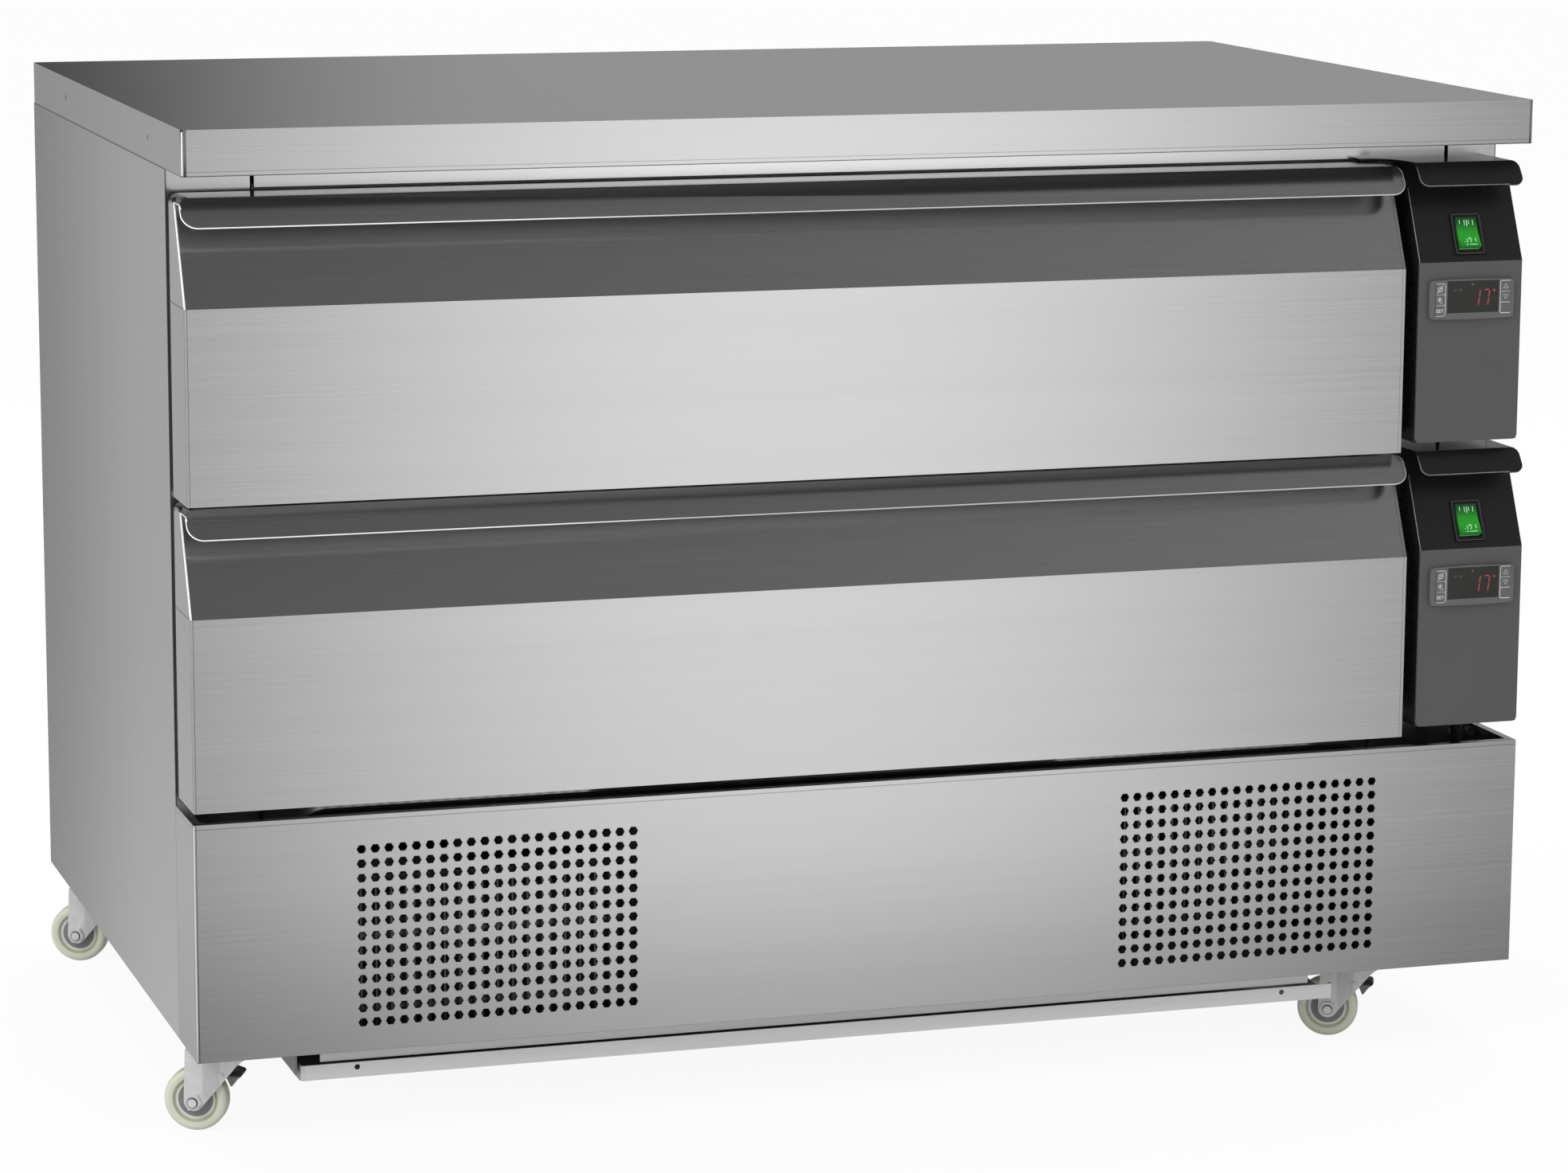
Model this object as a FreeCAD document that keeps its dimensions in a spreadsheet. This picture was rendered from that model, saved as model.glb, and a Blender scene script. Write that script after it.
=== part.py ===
"""Refrigerated drawer base: a stainless counter with two insulated drawers over a machine compartment.

Millimetres, +Z up, the front faces -Y. The origin is at the centre of the outline box, on the floor.
In the formulas x runs from the left side panel, y from the worktop's front edge and z from the floor.
"""
import FreeCAD, Part
import math
import os
import re

import Sketcher

doc = FreeCAD.newDocument("drawer_base")
sizes = doc.addObject("Spreadsheet::Sheet", "Sizes")
places = doc.addObject("Spreadsheet::Sheet", "Places")
owners = {}


def fill_sheet(sheet, rows):
    """Writes one alias and one value or formula a row, and remembers which sheet holds the alias."""
    for number, (alias, value) in enumerate(rows, start=1):
        sheet.set("A%d" % number, alias)
        sheet.set("B%d" % number, full(value) if value.startswith("=") else value)
        sheet.setAlias("B%d" % number, alias)
        owners[alias] = sheet.Name
    doc.recompute()


def full(text):
    """Puts the sheet's name before each alias, so that formulas can be written in plain words."""
    return re.sub(r"[A-Za-z_][A-Za-z_0-9]*", lambda word: "%s.%s" % (owners[word[0]], word[0])
                  if word[0] in owners else word[0], text)


# Driving dimensions

width = 1100
depth = 680
height = 782
top_thick = 35
top_skin = 1.5
top_hem = 14
top_corner = 4
rivet_radius = 2.4
rivet_dent = 0.3
rivet_drop = 17
rivet_front = 135
rivet_pitch = 375
skin = 1.2
overhang = 68
front_gap = 12
stile_left = 67
stile_right = 45
stile_seam = 2
post_width = 56
stile_return = 24
rail_return = 20
bottom_rail_height = 42
rail_clear = 2.5
rail_gap = 0.5
liner_inset = 4
front_drop = 52
unit_pitch = 234
step = 4
front_height = 230.5
front_inset = 0.5
upper_front_width = 990.5
lower_front_width = 996.5
ramp_height = 81.5
ramp_run = 38
lip_run = 16
lip_height = 20.7
lip_plate = 1.5
lip_corner = 12
lip_top_corner = 7
front_skin = 1.2
foam_skin = 2
lid_rise = 1.5
lid_thick = 39
lid_gap = 0.5
lid_front = 28
gasket_height = 3.5
gasket_width = 12
gasket_inset = 12
tub_height = 180
tub_wall = 37
tub_front_wall = 42
tub_back_wall = 27
tub_floor = 32
tub_depth = 535
tub_corner = 18
coil_length = 320
coil_depth = 120
coil_height = 26
coil_back = 60
coil_margin = 6
coil_fin_pitch = 8
slide_width = 12.7
slide_height = 46
slide_wall = 1.5
slide_gap = 0.5
slide_length = 590
slide_front = 8
slide_drop = 118
slide_flange = 8
housing_width = 90.5
housing_gap = 12
housing_rise = 2.5
housing_height = 225.5
housing_ramp = 79.5
housing_wall = 2.5
housing_skin = 2
housing_lip = 18
housing_lip_corner = 7
housing_side_round = 6
wing_length = 30
wing_depth = 12
plate_thick = 2
plate_corner = 4
panel_width = 73.5
panel_height = 32.5
panel_proud = 3.5
panel_drop = 30
panel_corner = 3
panel_bow = 0.8
case_width = 70
case_height = 28.5
case_depth = 52
case_wall = 1.6
window_width = 45.5
window_height = 26
window_left = 15
window_top = 1.2
window_thick = 1.8
key_size = 8
key_pitch = 8.7
key_left = 4.4
key_right = 3.2
key_top_left = 3.6
key_top_right = 2.4
key_gap = 0.15
key_proud = 0.5
key_thick = 2
key_travel = 0.4
switch_width = 25.5
switch_length = 34
switch_proud = 2
switch_rise = 23
switch_body_width = 21.5
switch_body_length = 29.5
switch_body_depth = 24
rocker_width = 18
rocker_length = 26
rocker_gap = 0.8
rocker_depth = 9
rocker_tilt = 7
rocker_sink = 2.5
pivot_radius = 1.2
pivot_length = 1.5
pivot_play = 0.05
base_height = 186.5
base_clear = 70.5
base_hem = 7
base_foot = 16
grille_left = 129.5
grille_right = 755.5
grille_drop = 27
hole_pitch_x = 10.8
hole_pitch_z = 11.4
hole_columns = 21
hole_rows = 13
hole_radius = 3.6
vent_width = 150
vent_height = 7
vent_pitch = 16
vent_rows = 8
vent_rise = 35
floor_rise = 4.5
floor_thick = 1.5
floor_gap = 0.3
channel_drop = 16.5
channel_wall = 1.5
channel_left = 99.5
channel_length = 828.5
channel_front = 16
channel_depth = 30
channel_pitch = 440
rail_left = 61
rail_wide = 15
rail_drop = 25
rail_right_inset = 40
rail_right_front = 150
tray_left = 83
tray_length = 865
tray_front = 12
tray_depth = 500
tray_low = 45.5
tray_wall_height = 12
tray_corner = 4
tray_hole_rise = 8
tray_hole_inset = 45
tray_hole_radius = 2.2
tray_notch = 12
tray_notch_front = 6
tray_tab_front = 150
tray_tab_length = 260
deck_gap = 3
condenser_left = 118
condenser_right = 744
condenser_width = 238
condenser_front = 34
condenser_back = 120
condenser_height = 118
condenser_depth = 40
fin_pitch = 6
fin_thick = 1.4
tube_radius = 4
tube_rows = 4
shroud_gap = 1
shroud_depth = 34
shroud_wall = 1.6
fan_radius = 50
fan_gap = 4
fan_hub_radius = 16
fan_hub_depth = 16
blade_thick = 2
blade_chord = 30
blade_count = 5
motor_radius = 24
motor_length = 36
motor_space = 6
motor_gap = 2
motor_arm = 10
shaft_radius = 3
shaft_play = 0.05
compressor_radius = 62
compressor_height = 118
compressor_y = 420
compressor_foot = 14
compressor_plate = 170
compressor_plate_thick = 3
compressor_foot_radius = 9
compressor_foot_inset = 14
compressor_foot_gap = 2
compressor_dome = 24
compressor_seam = 3
compressor_seam_height = 5
loom_radius = 3
loom_gap = 0.3
loom_z = 243
loom_left = 95
loom_right = 1000
loom_bend = 25
conduit_inset = 28
conduit_side = 9
conduit_back = 33
conduit_radius = 5
conduit_bore = 3.6
conduit_rib = 0.8
conduit_pitch = 3
gland_radius = 8
gland_height = 7
screw_radius = 4
screw_head = 2
screw_drop = 7
screw_inset = 7
screw_pitch = 15
swivel_left = 30.11
swivel_right = 114.9
swivel_front = 53.5
swivel_back = 88.5
castor_turn = 25
trail = 20
wheel_radius = 25
wheel_width = 17
wheel_edge = 3
web_radius = 16
web_recess = 3
wheel_hub_radius = 9
wheel_play = 0.05
axle_radius = 4
nut_flats = 12
nut_thick = 4
bolt_end = 1.5
fork_wall = 2.2
fork_side_gap = 1.6
fork_top = 64
fork_reach = 24
fork_toe = 6.3
fork_foot = 7.8
fork_foot_angle = 40
fork_knee_x = 14.8
fork_knee_z = 54.9
fork_flare_x = 18.4
fork_flare_z = 58
fork_rim_z = 61.5
race_radius = 15
race_height = 4
race_gap = 0.3
pin_radius = 5
pin_play = 0.05
pin_nut_radius = 8
pin_nut_height = 3.5
castor_plate_side = 57
castor_plate_thick = 2.5
pedal_width = 15
pedal_length = 15.7
pedal_rise = 3.2
pedal_foot = 7.4
pedal_drop = 10.2
pedal_pin_radius = 2
pedal_pin_play = 0.05
pedal_pin_x = 2
pedal_pin_z = 47
pedal_boss = 4

# Every number named so far goes into the Sizes sheet, which all the formulas read

fill_sheet(sizes, [(name, repr(number)) for name, number in list(vars().items())
                   if isinstance(number, (int, float))])

# Places worked out from the driving dimensions

fill_sheet(places, [
    ("left_reach", "=min(0; swivel_left - (trail + wheel_radius) * cos(castor_turn)"
                   " - (wheel_width / 2 - wheel_edge) * sin(castor_turn))"),
    ("origin_x", "=(width + left_reach) / 2"),
    ("origin_y", "=(depth - step - panel_proud - key_proud) / 2"),
    ("top_under", "=height - top_thick"),
    ("face_y", "=overhang"),
    ("front_back", "=overhang - front_gap"),
    ("wall_left", "=stile_left"),
    ("wall_right", "=width - stile_right - post_width"),
    ("front_top", "=height - front_drop"),
    ("lid_top", "=front_top + lid_rise"),
    ("lid_under", "=lid_top - lid_thick"),
    ("tub_top", "=lid_under - lid_gap - gasket_height"),
    ("tub_low", "=tub_top - tub_height"),
    ("tub_left", "=wall_left + skin + slide_width"),
    ("tub_right", "=wall_right - skin - slide_width"),
    ("tub_inside_front", "=face_y + tub_front_wall"),
    ("tub_inside_back", "=tub_inside_front + tub_depth"),
    ("tub_back", "=tub_inside_back + tub_back_wall"),
    ("lid_back", "=tub_back + 2"),
    ("slide_y", "=face_y + slide_front"),
    ("slide_z", "=tub_top - slide_drop"),
    ("deck_z", "=tub_low - unit_pitch - deck_gap"),
    ("base_top", "=base_clear + base_height"),
    ("floor_z", "=base_clear + floor_rise"),
    ("floor_top", "=floor_z + floor_thick"),
    ("upper_housing_x", "=front_inset + upper_front_width + housing_gap"),
    ("lower_housing_x", "=front_inset + lower_front_width + housing_gap"),
    ("housing_top", "=front_top + housing_rise"),
    ("housing_low", "=housing_top - housing_height"),
    ("housing_bend", "=housing_top - housing_ramp"),
    ("housing_run", "=ramp_run * housing_ramp / ramp_height"),
    ("housing_lip_run", "=lip_run * housing_lip / lip_height"),
    ("ramp_lean", "=atan(housing_run / housing_ramp)"),
    ("lip_lean", "=atan(lip_run / lip_height)"),
    ("panel_z", "=housing_bend - panel_drop"),
    ("switch_y", "=switch_rise * sin(ramp_lean)"),
    ("switch_z", "=housing_bend + switch_rise * cos(ramp_lean)"),
    ("fan_z", "=floor_top + condenser_height / 2"),
    ("fork_half", "=wheel_width / 2 + fork_side_gap"),
    ("fork_head", "=fork_top + fork_wall"),
    ("castor_right_x", "=width - swivel_right"),
    ("castor_back_y", "=depth - swivel_back"),
])


def value(text):
    """The number that a formula in plain words gives."""
    found = sizes.evalExpression(full(text))
    return float(getattr(found, "Value", found))


def bind(thing, prop, text):
    thing.setExpression(prop, full(str(text)))


def place(thing, x="0", y="0", z="0"):
    """Puts a feature at a place given from the left side, the worktop's front edge and the floor."""
    bind(thing, "Placement.Base.x", "(%s) - origin_x" % x)
    bind(thing, "Placement.Base.y", "(%s) - origin_y" % y)
    bind(thing, "Placement.Base.z", z)
    return thing


def block(name, x_from, x_to, y_from, y_to, z_from, z_to):
    """A box between two corners."""
    box = doc.addObject("Part::Box", name)
    bind(box, "Length", "(%s) - (%s)" % (x_to, x_from))
    bind(box, "Width", "(%s) - (%s)" % (y_to, y_from))
    bind(box, "Height", "(%s) - (%s)" % (z_to, z_from))
    return place(box, x_from, y_from, z_from)


def rod(name, x, y, z, radius, length, direction="z"):
    """A cylinder from a point along +X, +Y or +Z."""
    facing = {"z": FreeCAD.Rotation(), "x": FreeCAD.Rotation(FreeCAD.Vector(0, 1, 0), 90),
              "y": FreeCAD.Rotation(FreeCAD.Vector(1, 0, 0), -90)}[direction]
    cylinder = doc.addObject("Part::Cylinder", name)
    cylinder.Placement = FreeCAD.Placement(FreeCAD.Vector(), facing)
    bind(cylinder, "Radius", radius)
    bind(cylinder, "Height", length)
    return place(cylinder, x, y, z)


def hexagon(name, x, y, z, flats, length, direction="y"):
    """A hexagonal prism from a point along +Y or +Z."""
    prism = doc.addObject("Part::Prism", name)
    facing = {"z": FreeCAD.Rotation(), "y": FreeCAD.Rotation(FreeCAD.Vector(1, 0, 0), -90)}[direction]
    prism.Placement = FreeCAD.Placement(FreeCAD.Vector(), facing)
    prism.Polygon = 6
    bind(prism, "Circumradius", "(%s) / 2 / cos(30 deg)" % flats)
    bind(prism, "Height", length)
    return place(prism, x, y, z)


def cut(name, base, tools):
    """The base less every tool."""
    result = doc.addObject("Part::Cut", name)
    result.Base = base
    result.Tool = tools[0] if len(tools) == 1 else join(name + "_tools", tools)
    return result


def join(name, pieces):
    """Several shapes as one solid."""
    result = doc.addObject("Part::MultiFuse", name)
    result.Shapes = pieces
    result.Refine = True
    return result


def group(name, pieces):
    """Several separate solids that share one node."""
    result = doc.addObject("Part::Compound", name)
    result.Links = pieces
    return result


def made(name, shape):
    """A feature whose shape is worked out here; its points already count from the sheet's corner."""
    feature = doc.addObject("Part::Feature", name)
    feature.Shape = shape
    feature.Placement = FreeCAD.Placement(FreeCAD.Vector(-value("origin_x"), -value("origin_y"), 0),
                                          FreeCAD.Rotation())
    return feature


def sketch_on(body, role, name):
    """An empty sketch on one of the body's own origin planes."""
    sketch = body.newObject("Sketcher::SketchObject", name)
    plane = next(f for f in body.Origin.OriginFeatures if f.Role == role)
    sketch.AttachmentSupport = (plane, [""])
    sketch.MapMode = "FlatFace"
    return sketch


def outline(sketch, points):
    """A closed outline of straight lines, each corner held at a formula for each of its two places."""
    numbers = [(value(a), value(b)) for a, b in points]
    count = len(points)
    for i, here in enumerate(numbers):
        there = numbers[(i + 1) % count]
        sketch.addGeometry(Part.LineSegment(FreeCAD.Vector(*here, 0), FreeCAD.Vector(*there, 0)), False)
    for i in range(count):
        sketch.addConstraint(Sketcher.Constraint("Coincident", i, 2, (i + 1) % count, 1))
    for i, (texts, here) in enumerate(zip(points, numbers)):
        for kind, text, number in zip(("DistanceX", "DistanceY"), texts, here):
            index = sketch.addConstraint(Sketcher.Constraint(kind, -1, 1, i, 1, number))
            bind(sketch, "Constraints[%d]" % index, text)


def profile(name, role, points, length, x="0", y="0", z="0", start="0"):
    """A body padded from an outline on one of its origin planes, along that plane's normal."""
    body = doc.addObject("PartDesign::Body", name)
    sketch = sketch_on(body, role, name + "_outline")
    bind(sketch, "AttachmentOffset.Base.z", start)
    outline(sketch, points)
    pad = body.newObject("PartDesign::Pad", name + "_pad")
    pad.Profile = sketch
    bind(pad, "Length", length)
    place(body, x, y, z)
    doc.recompute()
    return body


def turned(name, points, x="0", y="0", z="0", role="XZ_Plane"):
    """A body turned about its own Z axis (XZ plane outline) from radius and height formulas."""
    body = doc.addObject("PartDesign::Body", name)
    sketch = sketch_on(body, role, name + "_outline")
    outline(sketch, points)
    turn = body.newObject("PartDesign::Revolution", name + "_turn")
    turn.Profile = sketch
    turn.ReferenceAxis = (sketch, ["V_Axis"])
    turn.Angle = 360
    place(body, x, y, z)
    doc.recompute()
    return body


def soften(body, radius, test):
    """Rounds the edges of a body's tip that the test picks by their middle point and direction."""
    tip = body.Tip
    picked = []
    for number, edge in enumerate(tip.Shape.Edges, start=1):
        middle = edge.valueAt((edge.FirstParameter + edge.LastParameter) / 2)
        along = edge.tangentAt(edge.FirstParameter)
        if edge.Curve.TypeId == "Part::GeomLine" and test(middle, along):
            picked.append("Edge%d" % number)
    fillet = body.newObject("PartDesign::Fillet", body.Name + "_round")
    fillet.Base = (tip, picked)
    bind(fillet, "Radius", radius)
    body.Tip = fillet
    doc.recompute()
    return body


def lean(thing, angle):
    """Leans a feature back about the X axis by a formula's angle."""
    bind(thing, "Placement.Rotation.Axis.x", "1")
    bind(thing, "Placement.Rotation.Axis.y", "0")
    bind(thing, "Placement.Rotation.Axis.z", "0")
    bind(thing, "Placement.Rotation.Angle", angle)
    return thing


def outside_corner(name, x, side, y_from, y_to, z, radius):
    """What a rounded upper edge along Y takes off a square one; side is 1 at a left end, -1 at a right end."""
    centre = "(%s) + %d * (%s)" % (x, side, radius)
    far = "(%s) - %d" % (x, side)
    start, stop = (far, centre) if side > 0 else (centre, far)
    square = block(name + "_square", start, stop, y_from, y_to, "(%s) - (%s)" % (z, radius), "(%s) + 1" % z)
    barrel = rod(name + "_barrel", centre, "(%s) - 1" % y_from, "(%s) - (%s)" % (z, radius), radius,
                 "(%s) - (%s) + 2" % (y_to, y_from), "y")
    return cut(name, square, [barrel])


def corners(x_from, x_to, y_from, y_to):
    """The four corners of a rectangle, for an outline."""
    return [(x_from, y_from), (x_to, y_from), (x_to, y_to), (x_from, y_to)]


def mirrored(points, width):
    """An outline's points seen in a mirror, inside the same width."""
    return [("(%s) - (%s)" % (width, a), b) for a, b in reversed(points)]


def flat_face(points):
    """A face between plane points."""
    return Part.Face(Part.makePolygon(list(points) + [points[0]]))


def perforated(x, z, width, height, thick, y, holes):
    """A sheet facing -Y with holes, each a list of points (x, z) that goes round like the sheet's outline."""
    def ring(points):
        wire = [FreeCAD.Vector(a, y, b) for a, b in points]
        return Part.makePolygon(wire + [wire[0]])
    edge = ring([(x, z), (x + width, z), (x + width, z + height), (x, z + height)])
    face = Part.Face([edge] + [ring(points[::-1]) for points in holes])
    return face.extrude(FreeCAD.Vector(0, thick, 0))


# Worktop: one folded sheet, hollow underneath, with spot dents where it is fixed to its frame

slab = profile("worktop_block", "XY_Plane", corners("0", "width", "0", "depth"), "top_thick", z="top_under")
soften(slab, "top_corner", lambda middle, along: abs(along.z) > 0.9)
hollow = block("worktop_hollow", "top_skin", "width - top_skin", "top_skin", "depth - top_skin",
               "top_under + top_skin", "height - top_skin")
mouth = block("worktop_mouth", "top_hem", "width - top_hem", "top_hem", "depth - top_hem",
              "top_under - 1", "top_under + top_skin + 1")
dents = []
for side, start in (("left", "0"), ("right", "width - rivet_dent")):
    for number, reach in (("front", "rivet_front"), ("back", "rivet_front + rivet_pitch")):
        dents.append(rod("dent_%s_%s" % (side, number), start, reach, "height - rivet_drop",
                         "rivet_radius", "rivet_dent", "x"))
cut("worktop", slab, [hollow, mouth] + dents)

# Carcass

block("left_side_panel", "0", "skin", "face_y", "depth", "base_clear", "top_under")
block("right_side_panel", "width - skin", "width", "face_y", "depth", "base_clear", "top_under")

vent_holes = []
for column in range(2):
    centre = value("width") * (0.26 + 0.48 * column)
    for row in range(int(value("vent_rows"))):
        low = value("floor_top") + value("vent_rise") + row * value("vent_pitch")
        half = value("vent_width") / 2
        vent_holes.append([(centre - half, low), (centre + half, low),
                           (centre + half, low + value("vent_height")), (centre - half, low + value("vent_height"))])
made("back_panel", perforated(value("skin"), value("base_clear"), value("width - 2 * skin"),
                              value("top_under - base_clear"), value("skin"), value("depth - skin"), vent_holes))

stile_left_face = block("stile_left_face", "skin", "wall_left - stile_seam", "face_y", "face_y + skin",
                        "floor_top", "top_under")
stile_left_fold = block("stile_left_fold", "wall_left - stile_seam - skin", "wall_left - stile_seam",
                        "face_y", "face_y + stile_return", "floor_top", "top_under")
stile_right_face = block("stile_right_face", "width - stile_right + stile_seam", "width - skin",
                         "face_y", "face_y + skin", "floor_top", "top_under")
stile_right_fold = block("stile_right_fold", "width - stile_right + stile_seam",
                         "width - stile_right + stile_seam + skin", "face_y", "face_y + stile_return",
                         "floor_top", "top_under")
post_face = block("post_face", "wall_right", "width - stile_right - skin", "face_y", "face_y + skin",
                  "tub_low - unit_pitch - rail_clear - bottom_rail_height", "lid_top")
post_fold = block("post_fold", "wall_right", "wall_right + skin", "face_y", "face_y + stile_return",
                  "tub_low - unit_pitch - rail_clear - bottom_rail_height", "lid_top")
stile_face_left = join("stile_one", [stile_left_face, stile_left_fold])
stile_face_right = join("stile_two", [stile_right_face, stile_right_fold])
group("face_stiles", [stile_face_left, stile_face_right, join("stile_post", [post_face, post_fold])])


def rail(name, right, low, high):
    """A face rail: a strip with a return along its top."""
    strip = block(name + "_strip", "wall_left + skin", right, "face_y", "face_y + skin", low, high)
    fold = block(name + "_fold", "wall_left + skin", right, "face_y", "face_y + rail_return",
                 "(%s) - skin" % high, high)
    return join(name, [strip, fold])


group("face_rails", [
    rail("rail_top", "width - stile_right - skin", "lid_top", "top_under"),
    rail("rail_middle", "wall_right - skin", "lid_top - unit_pitch + rail_gap", "tub_low - rail_clear"),
    rail("rail_bottom", "wall_right - skin", "tub_low - unit_pitch - rail_clear - bottom_rail_height",
         "tub_low - unit_pitch - rail_clear"),
])

liner_left = block("liner_left", "wall_left", "wall_left + skin", "face_y + liner_inset", "depth - skin",
                   "deck_z - skin", "lid_top")
liner_right = block("liner_right", "wall_right - skin", "wall_right", "face_y + liner_inset", "depth - skin",
                    "deck_z - skin", "lid_top")
liner_deck = block("liner_deck", "wall_left", "wall_right", "face_y + rail_return", "depth - skin",
                   "deck_z - skin", "deck_z")
join("inner_liner", [liner_left, liner_right, liner_deck])

# Insulated lids, their seals and their coils

lids, seals, coils = [], [], []
for unit, drop in (("upper", "0"), ("lower", "unit_pitch")):
    lid_box = block("lid_box_" + unit, "wall_left + skin", "wall_right - skin", "face_y + lid_front", "lid_back",
                    "lid_under - %s" % drop, "lid_top - %s" % drop)
    middle = "(tub_left + tub_right) / 2"
    coil_start = "%s - coil_length / 2" % middle
    coil_rear = "tub_inside_back - coil_back"
    recess = block("lid_recess_" + unit, "%s - coil_margin" % coil_start,
                   "%s + coil_length + coil_margin" % coil_start,
                   "%s - coil_depth - coil_margin" % coil_rear, "%s + coil_margin" % coil_rear,
                   "lid_under - %s - 1" % drop, "lid_under - %s + coil_height" % drop)
    foam = block("lid_foam_" + unit, "wall_left + skin + foam_skin", "wall_right - skin - foam_skin",
                 "face_y + lid_front + foam_skin", "lid_back - foam_skin", "lid_under + foam_skin - %s" % drop,
                 "lid_top - foam_skin - %s" % drop)
    core = block("lid_core_" + unit, "%s - coil_margin - foam_skin" % coil_start,
                 "%s + coil_length + coil_margin + foam_skin" % coil_start,
                 "%s - coil_depth - coil_margin - foam_skin" % coil_rear, "%s + coil_margin + foam_skin" % coil_rear,
                 "lid_under - %s" % drop, "lid_under + coil_height + foam_skin - %s" % drop)
    lids.append(cut("lid_" + unit, lid_box, [recess, cut("lid_space_" + unit, foam, [core])]))
    ring_outside = block("seal_outside_" + unit, "tub_left + tub_wall - gasket_inset - 2",
                         "tub_right - tub_wall + gasket_inset + 2", "tub_inside_front - gasket_inset - 2",
                         "tub_inside_back + gasket_inset + 2", "lid_under - gasket_height - %s" % drop,
                         "lid_under - %s" % drop)
    ring_inside = block("seal_inside_" + unit, "tub_left + tub_wall - 2", "tub_right - tub_wall + 2",
                        "tub_inside_front - 2", "tub_inside_back + 2",
                        "lid_under - gasket_height - %s - 1" % drop, "lid_under - %s + 1" % drop)
    seals.append(cut("seal_" + unit, ring_outside, [ring_inside]))
    start, rear = value(coil_start), value(coil_rear)
    base = value("lid_under - %s" % drop)
    count = int(value("coil_length") / value("coil_fin_pitch"))
    pitch = value("coil_length - fin_thick") / (count - 1)
    fins = [Part.makeBox(value("fin_thick"), value("coil_depth"), value("coil_height"),
                         FreeCAD.Vector(start + pitch * i, rear - value("coil_depth"), base))
            for i in range(count)]
    tubes = [Part.makeCylinder(value("tube_radius"), value("coil_length"),
                               FreeCAD.Vector(start, rear - value("coil_depth") * share, base + value("coil_height") / 2),
                               FreeCAD.Vector(1, 0, 0)) for share in (0.14, 0.38, 0.62, 0.86)]
    coils.append(made("coil_" + unit, tubes[0].multiFuse(tubes[1:] + fins)))
group("insulated_lids", lids)
group("lid_seals", seals)
group("evaporators", coils)

# Drawers


def drawer_front(name, width, forward, drop):
    """An insulated drawer front: a box with a ramp in its upper part and a finger lip over the ramp."""
    points = [
        ("front_back + %s" % forward, "-front_height"),
        ("0", "-front_height"),
        ("0", "-ramp_height"),
        ("ramp_run * (1 - lip_plate / ramp_height)", "-lip_plate"),
        ("lip_run + lip_plate * (cos(lip_lean) - (1 - sin(lip_lean)) * tan(lip_lean))", "-lip_plate"),
        ("lip_plate * cos(lip_lean)", "-lip_height - lip_plate * sin(lip_lean)"),
        ("0", "-lip_height"),
        ("lip_run", "0"),
        ("front_back + %s" % forward, "0"),
    ]
    base = "front_top - %s" % drop
    body = profile(name + "_body", "YZ_Plane", points, width, "front_inset", "-(%s)" % forward, base)
    edge = value("lip_height")
    soften(body, "lip_corner", lambda middle, along: abs(along.x) < 0.1 and abs(middle.z + edge) < 2
           and middle.y < 2)
    room = profile(name + "_room", "YZ_Plane", [
        ("front_back - front_skin + %s" % forward, "-front_height + front_skin"),
        ("front_skin", "-front_height + front_skin"),
        ("front_skin", "-ramp_height"),
        ("ramp_run * (1 - (lip_plate + front_skin) / ramp_height) + front_skin * 1.12", "-lip_plate - front_skin"),
        ("front_back - front_skin + %s" % forward, "-lip_plate - front_skin"),
    ], "(%s) - 2 * front_skin" % width, "front_inset + front_skin", "-(%s)" % forward, base)
    ends = (("left", "front_inset", 1), ("right", "front_inset + (%s)" % width, -1))
    rounds = [outside_corner("%s_%s_round" % (name, word), x, side, "-10", "front_back + 1", base, "lip_top_corner")
              for word, x, side in ends]
    inner = "(%s) - lip_plate - front_skin" % base
    inner_rounds = [outside_corner("%s_%s_inner_round" % (name, word), "%s + %d * front_skin" % (x, side), side,
                                   "-10", "front_back + 1", inner, "lip_top_corner - front_skin")
                    for word, x, side in ends]
    return cut(name, body, [cut(name + "_space", room, inner_rounds)] + rounds)


def drawer_tub(name, drop):
    """A tub open at the top, with two skins and a closed space between them for its insulation."""
    outside = block(name + "_outside", "tub_left", "tub_right", "front_back", "tub_back",
                    "tub_low - %s" % drop, "tub_top - %s" % drop)
    inside = profile(name + "_inside", "XY_Plane",
                     corners("tub_left + tub_wall", "tub_right - tub_wall", "tub_inside_front", "tub_inside_back"),
                     "tub_height", z="tub_low + tub_floor - %s" % drop)
    soften(inside, "tub_corner", lambda middle, along: abs(along.z) > 0.9)
    foam = block(name + "_foam", "tub_left + foam_skin", "tub_right - foam_skin", "front_back + foam_skin",
                 "tub_back - foam_skin", "tub_low + foam_skin - %s" % drop, "tub_top - foam_skin - %s" % drop)
    core = block(name + "_core", "tub_left + tub_wall - foam_skin", "tub_right - tub_wall + foam_skin",
                 "tub_inside_front - foam_skin", "tub_inside_back + foam_skin",
                 "tub_low + tub_floor - foam_skin - %s" % drop, "tub_top - %s" % drop)
    return cut(name, outside, [inside, cut(name + "_space", foam, [core])])


def channel(name, points, flip, drop, x):
    """A long runner member, pushed back from the face; flip gives the right-hand one."""
    shape = mirrored(points, "slide_width") if flip else points
    return profile(name, "XZ_Plane", shape, "slide_length", x, "slide_y + slide_length",
                   "slide_z - %s" % drop)


def c_section(web, reach, low, high):
    """A C with its web on the left and two flanges to the right."""
    near = "(%s) + slide_wall" % web
    tip = "(%s) + slide_flange" % web
    return [(web, low), (tip, low), (tip, "(%s) + slide_wall" % low), (near, "(%s) + slide_wall" % low),
            (near, "(%s) - slide_wall" % high), (tip, "(%s) - slide_wall" % high), (tip, high), (web, high)]


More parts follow.
